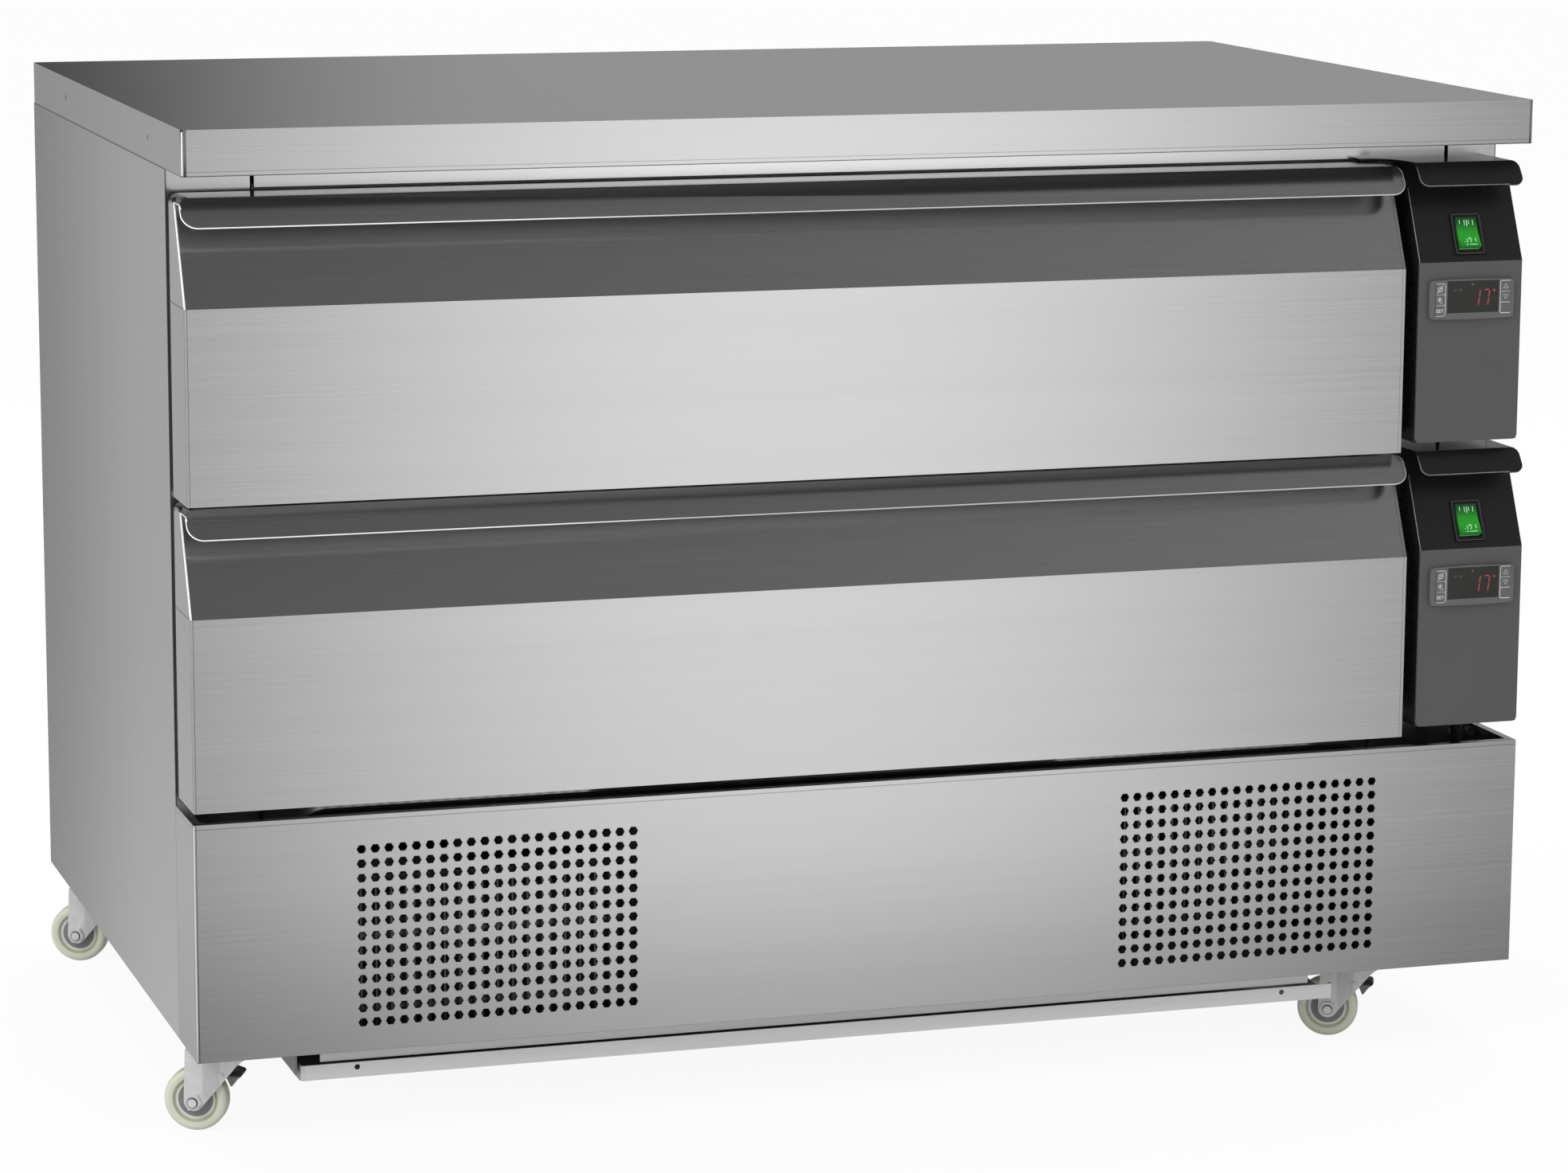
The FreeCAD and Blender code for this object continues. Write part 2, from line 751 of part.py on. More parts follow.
outer_points = c_section("0", "slide_flange", "0", "slide_height")
middle_points = c_section("slide_wall + slide_gap", "slide_flange", "slide_wall + slide_gap",
                          "slide_height - slide_wall - slide_gap")
inner_low = "2 * (slide_wall + slide_gap)"
inner_high = "slide_height - 2 * (slide_wall + slide_gap)"
inner_points = [
    ("slide_width", inner_low), ("slide_width", inner_high),
    ("2 * (slide_wall + slide_gap)", inner_high), ("2 * (slide_wall + slide_gap)", inner_high + " - slide_wall"),
    ("slide_width - slide_wall", inner_high + " - slide_wall"),
    ("slide_width - slide_wall", inner_low + " + slide_wall"),
    ("2 * (slide_wall + slide_gap)", inner_low + " + slide_wall"), ("2 * (slide_wall + slide_gap)", inner_low),
]

outers = []
for unit, width, forward, drop in (("upper", "upper_front_width", "0", "0"),
                                   ("lower", "lower_front_width", "step", "unit_pitch")):
    drawer_front("drawer_front_" + unit, width, forward, drop)
    drawer_tub("drawer_tub_" + unit, drop)
    left_x, right_x = "wall_left + skin", "wall_right - skin - slide_width"
    outers += [channel("outer_left_" + unit, outer_points, False, drop, left_x),
               channel("outer_right_" + unit, outer_points, True, drop, right_x)]
    group("runner_middle_" + unit, [channel("middle_left_" + unit, middle_points, False, drop, left_x),
                                    channel("middle_right_" + unit, middle_points, True, drop, right_x)])
    group("drawer_rails_" + unit, [channel("inner_left_" + unit, inner_points, False, drop, left_x),
                                   channel("inner_right_" + unit, inner_points, True, drop, right_x)])
group("runner_outer_members", outers)

# Control columns


def housing(name, x, forward, drop, conduit):
    """A black shell open at the back, with a ramp, a lip over it and a wing at its top back left."""
    back = "face_y + %s" % forward
    base = "housing_top - %s" % drop
    y = "-(%s)" % forward
    solid = profile(name + "_solid", "YZ_Plane", [
        (back, "-housing_height"),
        ("plate_thick", "-housing_height"),
        ("plate_thick", "-housing_ramp"),
        ("0", "-housing_ramp"),
        ("housing_run * (1 - housing_skin / housing_ramp)", "-housing_skin"),
        ("housing_lip_run + housing_skin * (cos(lip_lean) - (1 - sin(lip_lean)) * tan(lip_lean))",
         "-housing_skin"),
        ("housing_skin * cos(lip_lean)", "-housing_lip - housing_skin * sin(lip_lean)"),
        ("0", "-housing_lip"),
        ("housing_lip_run", "0"),
        (back, "0"),
    ], "housing_width", x, y, base)
    edge = value("housing_lip")
    soften(solid, "housing_lip_corner", lambda middle, along: abs(along.x) < 0.1
           and abs(middle.z + edge) < 2.5 and middle.y < 2.5)
    depth = "(housing_skin + housing_wall)"
    inside = profile(name + "_inside", "YZ_Plane", [
        (back + " + 1", "-housing_height + housing_wall"),
        ("plate_thick + housing_wall", "-housing_height + housing_wall"),
        ("plate_thick + housing_wall", "-housing_ramp"),
        ("housing_run * (1 - %s / housing_ramp) + plate_thick + housing_wall" % depth, "-" + depth),
        (back + " + 1", "-" + depth),
    ], "housing_width - 2 * housing_wall", "%s + housing_wall" % x, y, base)
    across = "%s + (housing_width - panel_width) / 2" % x
    window = block(name + "_front_hole", "%s + (panel_width - case_width) / 2 - 0.2" % across,
                   "%s + (panel_width + case_width) / 2 + 0.2" % across, "-(%s)" % forward,
                   "plate_thick + housing_wall + 1 - (%s)" % forward,
                   "panel_z - case_height / 2 - 0.2 - %s" % drop, "panel_z + case_height / 2 + 0.2 - %s" % drop)
    middle = "%s + housing_width / 2" % x
    slot = profile(name + "_ramp_hole", "XZ_Plane",
                   corners("-switch_body_width / 2 - 0.2", "switch_body_width / 2 + 0.2",
                           "-switch_body_length / 2 - 0.2", "switch_body_length / 2 + 0.2"),
                   "12", middle, "switch_y - %s" % forward, "switch_z - %s" % drop, "-10")
    lean(slot, "-ramp_lean")
    tools = [inside, window, slot, outside_corner(name + "_side_round", "%s + housing_width" % x, -1, "-10",
                                                  "face_y + 1", base, "housing_side_round")]
    if conduit:
        tools.append(rod(name + "_conduit_hole", "width - conduit_inset - %s" % "conduit_side", "conduit_back",
                         "%s - housing_height - 1" % base, "conduit_radius + 0.2", "housing_wall + 2"))
    shell = cut(name + "_shell", solid, tools)
    left, top, front = value(x), value(base), -value(forward)
    run, length, rear = value("housing_lip_run") + 3, value("wing_length"), value("face_y")
    inner_edge = rear - value("wing_depth")
    def at(a, b):
        return FreeCAD.Vector(left + a, b, top - value("housing_skin"))
    sweep = Part.BezierCurve()
    sweep.setPoles([at(-length, inner_edge), at(-length * 0.3, inner_edge), at(0, inner_edge * 0.75),
                    at(0, front + run)])
    edges = [Part.makeLine(at(-length, rear), at(-length, inner_edge)), sweep.toShape(),
             Part.makeLine(at(0, front + run), at(1, front + run)), Part.makeLine(at(1, front + run), at(1, rear)),
             Part.makeLine(at(1, rear), at(-length, rear))]
    wing = Part.Face(Part.Wire(edges)).extrude(FreeCAD.Vector(0, 0, value("housing_skin")))
    return join(name, [shell, made(name + "_wing", wing)])


def control_plate(name, x, forward, drop):
    """The grey plate that fills a column's recessed lower front."""
    base = "housing_low - %s" % drop
    plate = profile(name + "_sheet", "XZ_Plane", corners("0", "housing_width", "0", "housing_height - housing_ramp"),
                    "plate_thick", x, "plate_thick - (%s)" % forward, base)
    soften(plate, "plate_corner", lambda middle, along: abs(along.y) > 0.9 and middle.z < 1)
    across = "%s + (housing_width - case_width) / 2" % x
    hole = block(name + "_hole", "%s - 0.2" % across, "%s + case_width + 0.2" % across, "-1 - (%s)" % forward,
                 "plate_thick + 1 - (%s)" % forward, "panel_z - case_height / 2 - 0.2 - %s" % drop,
                 "panel_z + case_height / 2 + 0.2 - %s" % drop)
    return cut(name, plate, [hole])


def key_places():
    """The name, left edge and top edge of each key, from the thermostat's upper left corner."""
    found = []
    for number, word in enumerate(("power", "defrost", "set")):
        found.append((word, "key_left", "key_top_left + %d * key_pitch" % number))
    for number, word in enumerate(("up", "down")):
        found.append((word, "panel_width - key_right - key_size", "key_top_right + %d * key_pitch" % number))
    return found


def thermostat(name, x, forward, drop):
    """A panel thermostat: an arched bezel with a window recess and key pockets, on a case open at the back."""
    left, middle = "(%s) + (housing_width - panel_width) / 2" % x, "panel_z - %s" % drop
    top = "%s + panel_height / 2" % middle
    front = "-(%s) - panel_proud" % forward
    a, b, c = value(left), value(middle), value(front)
    w, h, bow = value("panel_width"), value("panel_height"), value("panel_bow")
    corner = [FreeCAD.Vector(a, c, b - h / 2 + bow), FreeCAD.Vector(a + w, c, b - h / 2 + bow),
              FreeCAD.Vector(a + w, c, b + h / 2 - bow), FreeCAD.Vector(a, c, b + h / 2 - bow)]
    edges = []
    for i, (out_x, out_z) in enumerate(((0, -1), (0.6, 0), (0, 1), (-0.6, 0))):
        here, there = corner[i], corner[(i + 1) % 4]
        bulge = (here + there) * 0.5 + FreeCAD.Vector(out_x * bow, 0, out_z * bow)
        edges.append(Part.Arc(here, bulge, there).toShape())
    face = Part.Face(Part.Wire(edges)).extrude(FreeCAD.Vector(0, value("panel_proud"), 0))
    upright = [edge for edge in face.Edges if abs(edge.tangentAt(edge.FirstParameter).y) > 0.9]
    bezel = made(name + "_bezel", face.makeFillet(value("panel_corner"), upright))
    case_x = "(%s) + (housing_width - case_width) / 2" % x
    case = block(name + "_case", case_x, "%s + case_width" % case_x, "-(%s)" % forward,
                 "case_depth - (%s)" % forward, "%s - case_height / 2" % middle, "%s + case_height / 2" % middle)
    room = block(name + "_room", "%s + case_wall" % case_x, "%s + case_width - case_wall" % case_x,
                 "case_wall - (%s)" % forward, "case_depth + 1 - (%s)" % forward,
                 "%s - case_height / 2 + case_wall" % middle, "%s + case_height / 2 - case_wall" % middle)
    tools = [room, block(name + "_window_recess", "%s + window_left" % left,
                         "%s + window_left + window_width" % left, "%s - 1" % front,
                         "%s + window_thick" % front, "%s - window_top - window_height" % top,
                         "%s - window_top" % top)]
    for word, side, low in key_places():
        tools.append(block("%s_pocket_%s" % (name, word), "%s + %s - key_gap" % (left, side),
                           "%s + %s + key_size + key_gap" % (left, side), "%s - 1" % front,
                           "%s + key_thick + key_travel" % front,
                           "%s - (%s) - key_size - key_gap" % (top, low), "%s - (%s) + key_gap" % (top, low)))
    window = block(name + "_window", "%s + window_left" % left, "%s + window_left + window_width" % left,
                   front, "%s + window_thick" % front, "%s - window_top - window_height" % top,
                   "%s - window_top" % top)
    return cut(name, join(name + "_solid", [bezel, case]), tools), window, (left, top, front)


def switch(name, x, forward, drop):
    """A rocker switch's frame and body, leaning with the ramp, with a pocket and two pivot holes."""
    middle, y, z = "(%s) + housing_width / 2" % x, "switch_y - (%s)" % forward, "switch_z - %s" % drop
    frame = profile(name + "_frame", "XZ_Plane",
                    corners("-switch_width / 2", "switch_width / 2", "-switch_length / 2", "switch_length / 2"),
                    "switch_proud", middle, y, z)
    body = profile(name + "_body", "XZ_Plane",
                   corners("-switch_body_width / 2", "switch_body_width / 2", "-switch_body_length / 2",
                           "switch_body_length / 2"), "switch_body_depth", middle, y, z, "-switch_body_depth")
    room = profile(name + "_room", "XZ_Plane",
                   corners("-rocker_width / 2 - rocker_gap", "rocker_width / 2 + rocker_gap",
                           "-rocker_length / 2 - rocker_gap", "rocker_length / 2 + rocker_gap"),
                   "rocker_depth + switch_proud + 4", middle, y, z, "-rocker_depth - 2")
    pivot = doc.addObject("PartDesign::Body", name + "_pivot")
    ring = sketch_on(pivot, "YZ_Plane", name + "_pivot_ring")
    ring.addGeometry(Part.Circle(FreeCAD.Vector(value("rocker_sink"), 0, 0), FreeCAD.Vector(0, 0, 1), 2), False)
    for kind, text, index in (("DistanceX", "rocker_sink", (-1, 1, 0, 3)), ("Radius", "pivot_radius + pivot_play", (0,))):
        at = ring.addConstraint(Sketcher.Constraint(kind, *index, value(text)))
        bind(ring, "Constraints[%d]" % at, text)
    ring.addConstraint(Sketcher.Constraint("PointOnObject", 0, 3, -1))
    bind(ring, "AttachmentOffset.Base.z", "-rocker_width / 2 - pivot_length")
    pad = pivot.newObject("PartDesign::Pad", name + "_pivot_pad")
    pad.Profile = ring
    bind(pad, "Length", "rocker_width + 2 * pivot_length")
    place(pivot, middle, y, z)
    doc.recompute()
    for piece in (frame, body, room, pivot):
        lean(piece, "-ramp_lean")
    return cut(name, join(name + "_solid", [frame, body]), [room, pivot])


def rocker(name, x, forward, drop):
    """A rocker with two hollowed faces and a pivot pin on each side, one end pressed in."""
    middle = "(%s) + housing_width / 2" % x
    y = "switch_y + rocker_sink * cos(ramp_lean) - (%s)" % forward
    z = "switch_z - rocker_sink * sin(ramp_lean) - %s" % drop
    front = "-rocker_sink - switch_proud - 0.3"
    tip = "%s - rocker_length / 2 * tan(rocker_tilt * 1 deg)" % front
    body = profile(name + "_body", "YZ_Plane", [
        (front, "0"), (tip, "-rocker_length / 2"), ("0.5", "-rocker_length / 2 + 0.8"),
        ("rocker_depth - 4.5", "-rocker_length / 4"), ("rocker_depth - 4.5", "rocker_length / 4"),
        ("0.5", "rocker_length / 2 - 0.8"), (tip, "rocker_length / 2"),
    ], "rocker_width", middle, y, z, "-rocker_width / 2")
    pins = doc.addObject("PartDesign::Body", name + "_pins")
    ring = sketch_on(pins, "YZ_Plane", name + "_pins_ring")
    ring.addGeometry(Part.Circle(FreeCAD.Vector(0, 0, 0), FreeCAD.Vector(0, 0, 1), 2), False)
    at = ring.addConstraint(Sketcher.Constraint("Radius", 0, value("pivot_radius")))
    bind(ring, "Constraints[%d]" % at, "pivot_radius")
    ring.addConstraint(Sketcher.Constraint("Coincident", 0, 3, -1, 1))
    bind(ring, "AttachmentOffset.Base.z", "-rocker_width / 2 - pivot_length")
    pad = pins.newObject("PartDesign::Pad", name + "_pins_pad")
    pad.Profile = ring
    bind(pad, "Length", "rocker_width + 2 * pivot_length")
    place(pins, middle, y, z)
    doc.recompute()
    for piece in (body, pins):
        lean(piece, "-ramp_lean - rocker_tilt * 1 deg")
    return join(name, [body, pins])


plates, thermostats, windows, switches = [], [], [], []
for unit, x, forward, drop in (("upper", "upper_housing_x", "0", "0"),
                               ("lower", "lower_housing_x", "step", "unit_pitch")):
    housing("control_housing_" + unit, x, forward, drop, unit == "lower")
    plates.append(control_plate("control_plate_" + unit, x, forward, drop))
    body, window, (left, top, front) = thermostat("thermostat_" + unit, x, forward, drop)
    thermostats.append(body)
    windows.append(window)
    for word, side, low in key_places():
        block("key_%s_%s" % (unit, word), "%s + %s" % (left, side), "%s + %s + key_size" % (left, side),
              "%s - key_proud" % front, "%s - key_proud + key_thick" % front,
              "%s - (%s) - key_size" % (top, low), "%s - (%s)" % (top, low))
    switches.append(switch("switch_%s" % unit, x, forward, drop))
    rocker("rocker_" + unit, x, forward, drop)
group("control_plates", plates)
group("thermostats", thermostats)
group("thermostat_windows", windows)
group("switch_bezels", switches)

# Machine compartment front: a folded sheet with two fields of hexagonal holes

cells = []
for start in (value("grille_left"), value("grille_right")):
    for column in range(int(value("hole_columns"))):
        for row in range(int(value("hole_rows"))):
            a = start + column * value("hole_pitch_x")
            b = value("base_top - grille_drop") - row * value("hole_pitch_z")
            cells.append([(a + value("hole_radius") * math.cos(math.radians(60 * k)),
                           b + value("hole_radius") * math.sin(math.radians(60 * k))) for k in range(6)])
base_sheet = perforated(0, value("base_clear"), value("width"), value("base_height"), value("skin"),
                        -value("step"), cells)
folds = []
for x_from, x_to, y_to, z_from, z_to in (
        ("0", "skin", "face_y", "base_clear", "base_top"),
        ("width - skin", "width", "face_y", "base_clear", "base_top"),
        ("0", "width", "base_hem - step", "base_top - skin", "base_top"),
        ("0", "base_hem", "face_y", "base_top - skin", "base_top"),
        ("width - base_hem", "width", "face_y", "base_top - skin", "base_top"),
        ("0", "width", "base_foot - step", "base_clear", "base_clear + skin")):
    corner = FreeCAD.Vector(value(x_from), -value("step"), value(z_from))
    folds.append(Part.makeBox(value("%s - (%s)" % (x_to, x_from)), value("%s + step" % y_to),
                              value("%s - (%s)" % (z_to, z_from)), corner))
made("base_front_panel", base_sheet.multiFuse(folds))

# Floor, chassis channels and the tray slung under them

block("base_floor", "skin", "width - skin", "skin - step + floor_gap", "depth - skin", "floor_z", "floor_top")


def cross_channel(name, y):
    """A channel across the chassis, open downwards."""
    outside = block(name + "_outside", "channel_left", "channel_left + channel_length", y,
                    "(%s) + channel_depth" % y, "floor_z - channel_drop", "floor_z")
    inside = block(name + "_inside", "channel_left - 1", "channel_left + channel_length + 1",
                   "(%s) + channel_wall" % y, "(%s) + channel_depth - channel_wall" % y,
                   "floor_z - channel_drop - 1", "floor_z - channel_wall")
    return cut(name, outside, [inside])


def long_rail(name, x, web, start):
    """An angle along the chassis; web gives the x of its upright sheet and start the y of its front end."""
    flange = block(name + "_flange", x, "(%s) + rail_wide" % x, start, "depth - rail_left",
                   "floor_z - channel_wall", "floor_z")
    upright = block(name + "_web", web, "(%s) + channel_wall" % web, start, "depth - rail_left",
                    "floor_z - rail_drop", "floor_z")
    return join(name, [flange, upright])


group("chassis_channels", [
    cross_channel("channel_front_one", "channel_front"),
    cross_channel("channel_rear_one", "channel_front + channel_pitch"),
    long_rail("chassis_rail_left", "rail_left + 5", "rail_left + 5 + rail_wide - channel_wall",
              "tray_front + 2"),
    long_rail("chassis_rail_right", "width - rail_right_inset", "width - rail_right_inset", "rail_right_front"),
])

tray_back = "tray_front + tray_depth"
tray_right = "tray_left + tray_length"
tray_high = "tray_low + tray_wall_height"
tray_main = profile("tray_main", "XY_Plane", corners("0", "tray_length - tray_notch", "0", "tray_depth"),
                    "tray_wall_height", "tray_left", "tray_front", "tray_low")
soften(tray_main, "tray_corner", lambda middle, along: abs(along.z) > 0.9 and middle.x < 1)
tray_room = block("tray_room", "tray_left + skin", tray_right + " - tray_notch - skin", "tray_front + skin",
                  tray_back + " - skin", "tray_low + skin", tray_high + " + 1")
tray_end = block("tray_end", tray_right + " - tray_notch - 1", tray_right, "tray_front", "tray_front + skin",
                 "tray_low", tray_high)
tray_end_fold = block("tray_end_fold", tray_right + " - skin", tray_right, "tray_front",
                      "tray_front + tray_notch_front", "tray_low", tray_high)
tray_holes = [rod("tray_hole_" + word, at, "tray_front - 1", "tray_low + tray_hole_rise", "tray_hole_radius",
                  "skin + 2", "y")
              for word, at in (("left", "tray_left + tray_hole_inset"), ("right", tray_right + " - tray_hole_inset"))]
tray_tabs = [block("tray_tab_" + word, at, "(%s) + skin" % at, "tray_front + tray_tab_front",
                   "tray_front + tray_tab_front + tray_tab_length", "tray_low", "floor_z")
             for word, at in (("left", "tray_left"), ("right", tray_right + " - tray_notch - skin"))]
tray_shell = cut("tray_shell", tray_main, [tray_room])
tray_holed = cut("tray_holed", join("tray_joined", [tray_shell, tray_end, tray_end_fold] + tray_tabs), tray_holes)
group("service_tray", [tray_holed])

# Refrigeration sets: condenser, fan and compressor behind each grille


def comb(x, y, z):
    """Upright fins on both sides of a middle sheet, with tubes through them."""
    width, depth, height = value("condenser_width"), value("condenser_depth"), value("condenser_height")
    thick, spine = value("fin_thick"), 1.0
    count = int(width / value("fin_pitch")) + 1
    pitch = (width - thick) / (count - 1)
    front, back = [], []
    for i in range(count):
        a = x + i * pitch
        front += [(a, y + depth / 2 - spine), (a, y), (a + thick, y), (a + thick, y + depth / 2 - spine)]
        back += [(a, y + depth / 2 + spine), (a, y + depth), (a + thick, y + depth), (a + thick, y + depth / 2 + spine)]
    edge = front + back[::-1]
    edge = [point for i, point in enumerate(edge) if point != edge[i - 1]]
    fins = flat_face([FreeCAD.Vector(a, b, z) for a, b in edge]).extrude(FreeCAD.Vector(0, 0, height))
    rows = int(value("tube_rows"))
    tubes = [Part.makeCylinder(value("tube_radius"), width, FreeCAD.Vector(x, y + depth / 4, z + height * (row + 0.5) / rows),
                               FreeCAD.Vector(1, 0, 0)) for row in range(rows)]
    return fins.multiFuse(tubes)


def shroud(name, x, y):
    """A fan box open to the condenser, with a round outlet, and the fan motor on three arms behind it."""
    right, back = "(%s) + condenser_width" % x, "(%s) + shroud_depth" % y
    top = "floor_top + condenser_height"
    middle = "(%s) + condenser_width / 2" % x
    outside = block(name + "_outside", x, right, y, back, "floor_top", top)
    inside = block(name + "_inside", "(%s) + shroud_wall" % x, "%s - shroud_wall" % right, "(%s) - 1" % y,
                   "%s - shroud_wall" % back, "floor_top + shroud_wall", "%s - shroud_wall" % top)
    outlet = rod(name + "_outlet", middle, "%s - shroud_wall - 1" % back, "fan_z", "fan_radius + fan_gap",
                 "shroud_wall + 2", "y")
    box = cut(name + "_box", outside, [inside, outlet])
    motor_y = "%s + motor_space" % back
    motor = rod(name + "_motor", middle, motor_y, "fan_z", "motor_radius", "motor_length", "y")
    shaft = rod(name + "_shaft", middle, "%s - fan_hub_depth - motor_gap" % motor_y, "fan_z", "shaft_radius",
                "fan_hub_depth + motor_gap + 1", "y")
    arm_y = "%s + motor_arm / 2" % motor_y
    bar_up = block(name + "_bar_up", "%s - motor_arm / 2" % middle, "%s + motor_arm / 2" % middle, motor_y,
                   arm_y, "fan_z - condenser_height / 2", "fan_z + condenser_height / 2")
    legs = [block("%s_leg_%s" % (name, word), "%s - motor_arm / 2" % middle, "%s + motor_arm / 2" % middle,
                  "%s - shroud_wall" % back, arm_y, low, high)
            for word, low, high in (("low", "floor_top", "floor_top + 3"), ("high", "%s - 3" % top, top))]
    return join(name, [box, motor, shaft, bar_up] + legs)


def fan_rotor(name, x, y):
    """Five leaning blades on a hub, bored for the motor's shaft."""
    middle = FreeCAD.Vector(value("(%s) + condenser_width / 2" % x), value(y), value("fan_z"))
    hub = Part.makeCylinder(value("fan_hub_radius"), value("fan_hub_depth"), middle, FreeCAD.Vector(0, 1, 0))
    blades = []
    start, length = value("fan_hub_radius") - 3, value("fan_radius - fan_hub_radius") + 2
    for i in range(int(value("blade_count"))):
        blade = Part.makeBox(value("blade_chord"), value("blade_thick"), length,
                             FreeCAD.Vector(-value("blade_chord") / 2, -value("blade_thick") / 2, start))
        blade.rotate(FreeCAD.Vector(), FreeCAD.Vector(0, 0, 1), 28)
        blade.rotate(FreeCAD.Vector(), FreeCAD.Vector(0, 1, 0), 360 * i / value("blade_count"))
        blade.translate(middle + FreeCAD.Vector(0, value("fan_hub_depth") / 2, 0))
        blades.append(blade)
    trim = Part.makeCylinder(value("fan_radius"), value("fan_hub_depth"), middle, FreeCAD.Vector(0, 1, 0))
    bore = Part.makeCylinder(value("shaft_radius + shaft_play"), value("fan_hub_depth") + 2,
                             middle - FreeCAD.Vector(0, 1, 0), FreeCAD.Vector(0, 1, 0))
    return made(name, hub.multiFuse(blades).common(trim).cut(bore))


def compressor(name, x):
    """A domed hermetic compressor on a foot plate."""
    radius, height = value("compressor_radius"), value("compressor_height")
    middle = FreeCAD.Vector(value("(%s) + condenser_width / 2" % x), value("compressor_y"), value("floor_top"))
    side, foot = value("compressor_plate"), value("compressor_foot")
    thick, inset = value("compressor_plate_thick"), side / 2 - value("compressor_foot_inset")
    plate = Part.makeBox(side, side, thick, middle + FreeCAD.Vector(-side / 2, -side / 2, foot - thick))
    feet = [Part.makeCylinder(value("compressor_foot_radius"), foot - value("compressor_foot_gap"),
                              middle + FreeCAD.Vector(a * inset, b * inset, 0)) for a in (-1, 1) for b in (-1, 1)]
    pot = Part.makeCylinder(radius, height, middle + FreeCAD.Vector(0, 0, foot - 1))
    rims = [edge for edge in pot.Edges if edge.Curve.TypeId == "Part::GeomCircle"
            and edge.CenterOfMass.z > middle.z + height / 2]
    pot = pot.makeFillet(value("compressor_dome"), rims)
    seam = Part.makeCylinder(radius + value("compressor_seam"), value("compressor_seam_height"),
                             middle + FreeCAD.Vector(0, 0, foot + height / 2))
    return made(name, pot.multiFuse([plate, seam] + feet))


condensers, shrouds, compressors = [], [], []
for side, x, y in (("left", "condenser_left", "condenser_front"), ("right", "condenser_right", "condenser_back")):
    condensers.append(made("condenser_" + side, comb(value(x), value(y), value("floor_top"))))
    box_y = "%s + condenser_depth + shroud_gap" % y
    shrouds.append(shroud("shroud_" + side, x, box_y))
    fan_rotor("fan_rotor_" + side, x, "%s + shroud_depth + motor_space - fan_hub_depth - motor_gap" % box_y)
    compressors.append(compressor("compressor_" + side, x))
group("condensers", condensers)
group("fan_shrouds", shrouds)
group("compressors", compressors)

# Wiring: a loom across the compartment's front, and a ribbed conduit down from the lower control column

loom_y = value("face_y - loom_radius - loom_gap")
corner_points = [FreeCAD.Vector(value("loom_left"), loom_y, value("floor_top")),
                 FreeCAD.Vector(value("loom_left"), loom_y, value("loom_z")),
                 FreeCAD.Vector(value("loom_right"), loom_y, value("loom_z")),
                 FreeCAD.Vector(value("loom_right"), loom_y, value("floor_top"))]
bend = value("loom_bend")
a, b, c, d = corner_points
half = bend * (1 - math.sqrt(0.5))
first_arc = Part.Arc(b - FreeCAD.Vector(0, 0, bend), b + FreeCAD.Vector(half, 0, -half), b + FreeCAD.Vector(bend, 0, 0))
second_arc = Part.Arc(c - FreeCAD.Vector(bend, 0, 0), c + FreeCAD.Vector(-half, 0, -half), c - FreeCAD.Vector(0, 0, bend))
path = Part.Wire([Part.makeLine(a, b - FreeCAD.Vector(0, 0, bend)), first_arc.toShape(),
                  Part.makeLine(b + FreeCAD.Vector(bend, 0, 0), c - FreeCAD.Vector(bend, 0, 0)),
                  second_arc.toShape(), Part.makeLine(c - FreeCAD.Vector(0, 0, bend), d)])
section = Part.Wire([Part.Circle(a, FreeCAD.Vector(0, 0, 1), value("loom_radius")).toShape()])
made("wiring_loom", path.makePipeShell([section], True, False))

conduit_x = value("width - conduit_inset - conduit_side")
low, high = value("floor_top"), value("housing_low - unit_pitch")
outer, bore, rib = value("conduit_radius"), value("conduit_bore"), value("conduit_rib")
edge = [(bore, low), (outer - rib, low)]
for i in range(int((high - low - 4) / value("conduit_pitch"))):
    z = low + 2 + i * value("conduit_pitch")
    third = value("conduit_pitch") / 3
    edge += [(outer - rib, z), (outer, z + 0.4 * third), (outer, z + 1.4 * third), (outer - rib, z + 1.8 * third)]
edge += [(outer - rib, high), (bore, high)]
conduit = flat_face([FreeCAD.Vector(conduit_x + r, value("conduit_back"), z) for r, z in edge])
conduit = conduit.revolve(FreeCAD.Vector(conduit_x, value("conduit_back"), 0), FreeCAD.Vector(0, 0, 1), 360)
gland = Part.makeCylinder(value("gland_radius"), value("gland_height"),
                          FreeCAD.Vector(conduit_x, value("conduit_back"), high - value("gland_height")))
core = Part.makeCylinder(bore, value("gland_height"), FreeCAD.Vector(conduit_x, value("conduit_back"),
                                                                      high - value("gland_height")))
made("conduit", conduit.fuse(gland.cut(core)))

# Screws on the carcass face

heads = []
for number, inset in (("one", "screw_inset"), ("two", "screw_inset + screw_pitch")):
    z = "base_top - screw_drop"
    head = rod("screw_head_" + number, "width - (%s)" % inset, "face_y - screw_head", z, "screw_radius",
               "screw_head", "y")
    heads.append(head)
group("face_screws", heads)

# Castors

sides = (("front_left", "swivel_left", "swivel_front", True), ("front_right", "castor_right_x", "swivel_front", True),
         ("back_left", "swivel_left", "castor_back_y", False), ("back_right", "castor_right_x", "castor_back_y", False))


def castor_plate(name, x, y):
    """A top plate with a swivel pin and its riveted head."""
    plate = block(name + "_sheet", "(%s) - castor_plate_side / 2" % x, "(%s) + castor_plate_side / 2" % x,
                  "(%s) - castor_plate_side / 2" % y, "(%s) + castor_plate_side / 2" % y,
                  "floor_z - castor_plate_thick", "floor_z")
    pin = rod(name + "_pin", x, y, "fork_top - race_gap - pin_nut_height", "pin_radius",
              "floor_z - fork_top + race_gap + pin_nut_height - 1")
    head = rod(name + "_head", x, y, "fork_top - race_gap - pin_nut_height", "pin_nut_radius", "pin_nut_height")
    return join(name, [plate, pin, head])


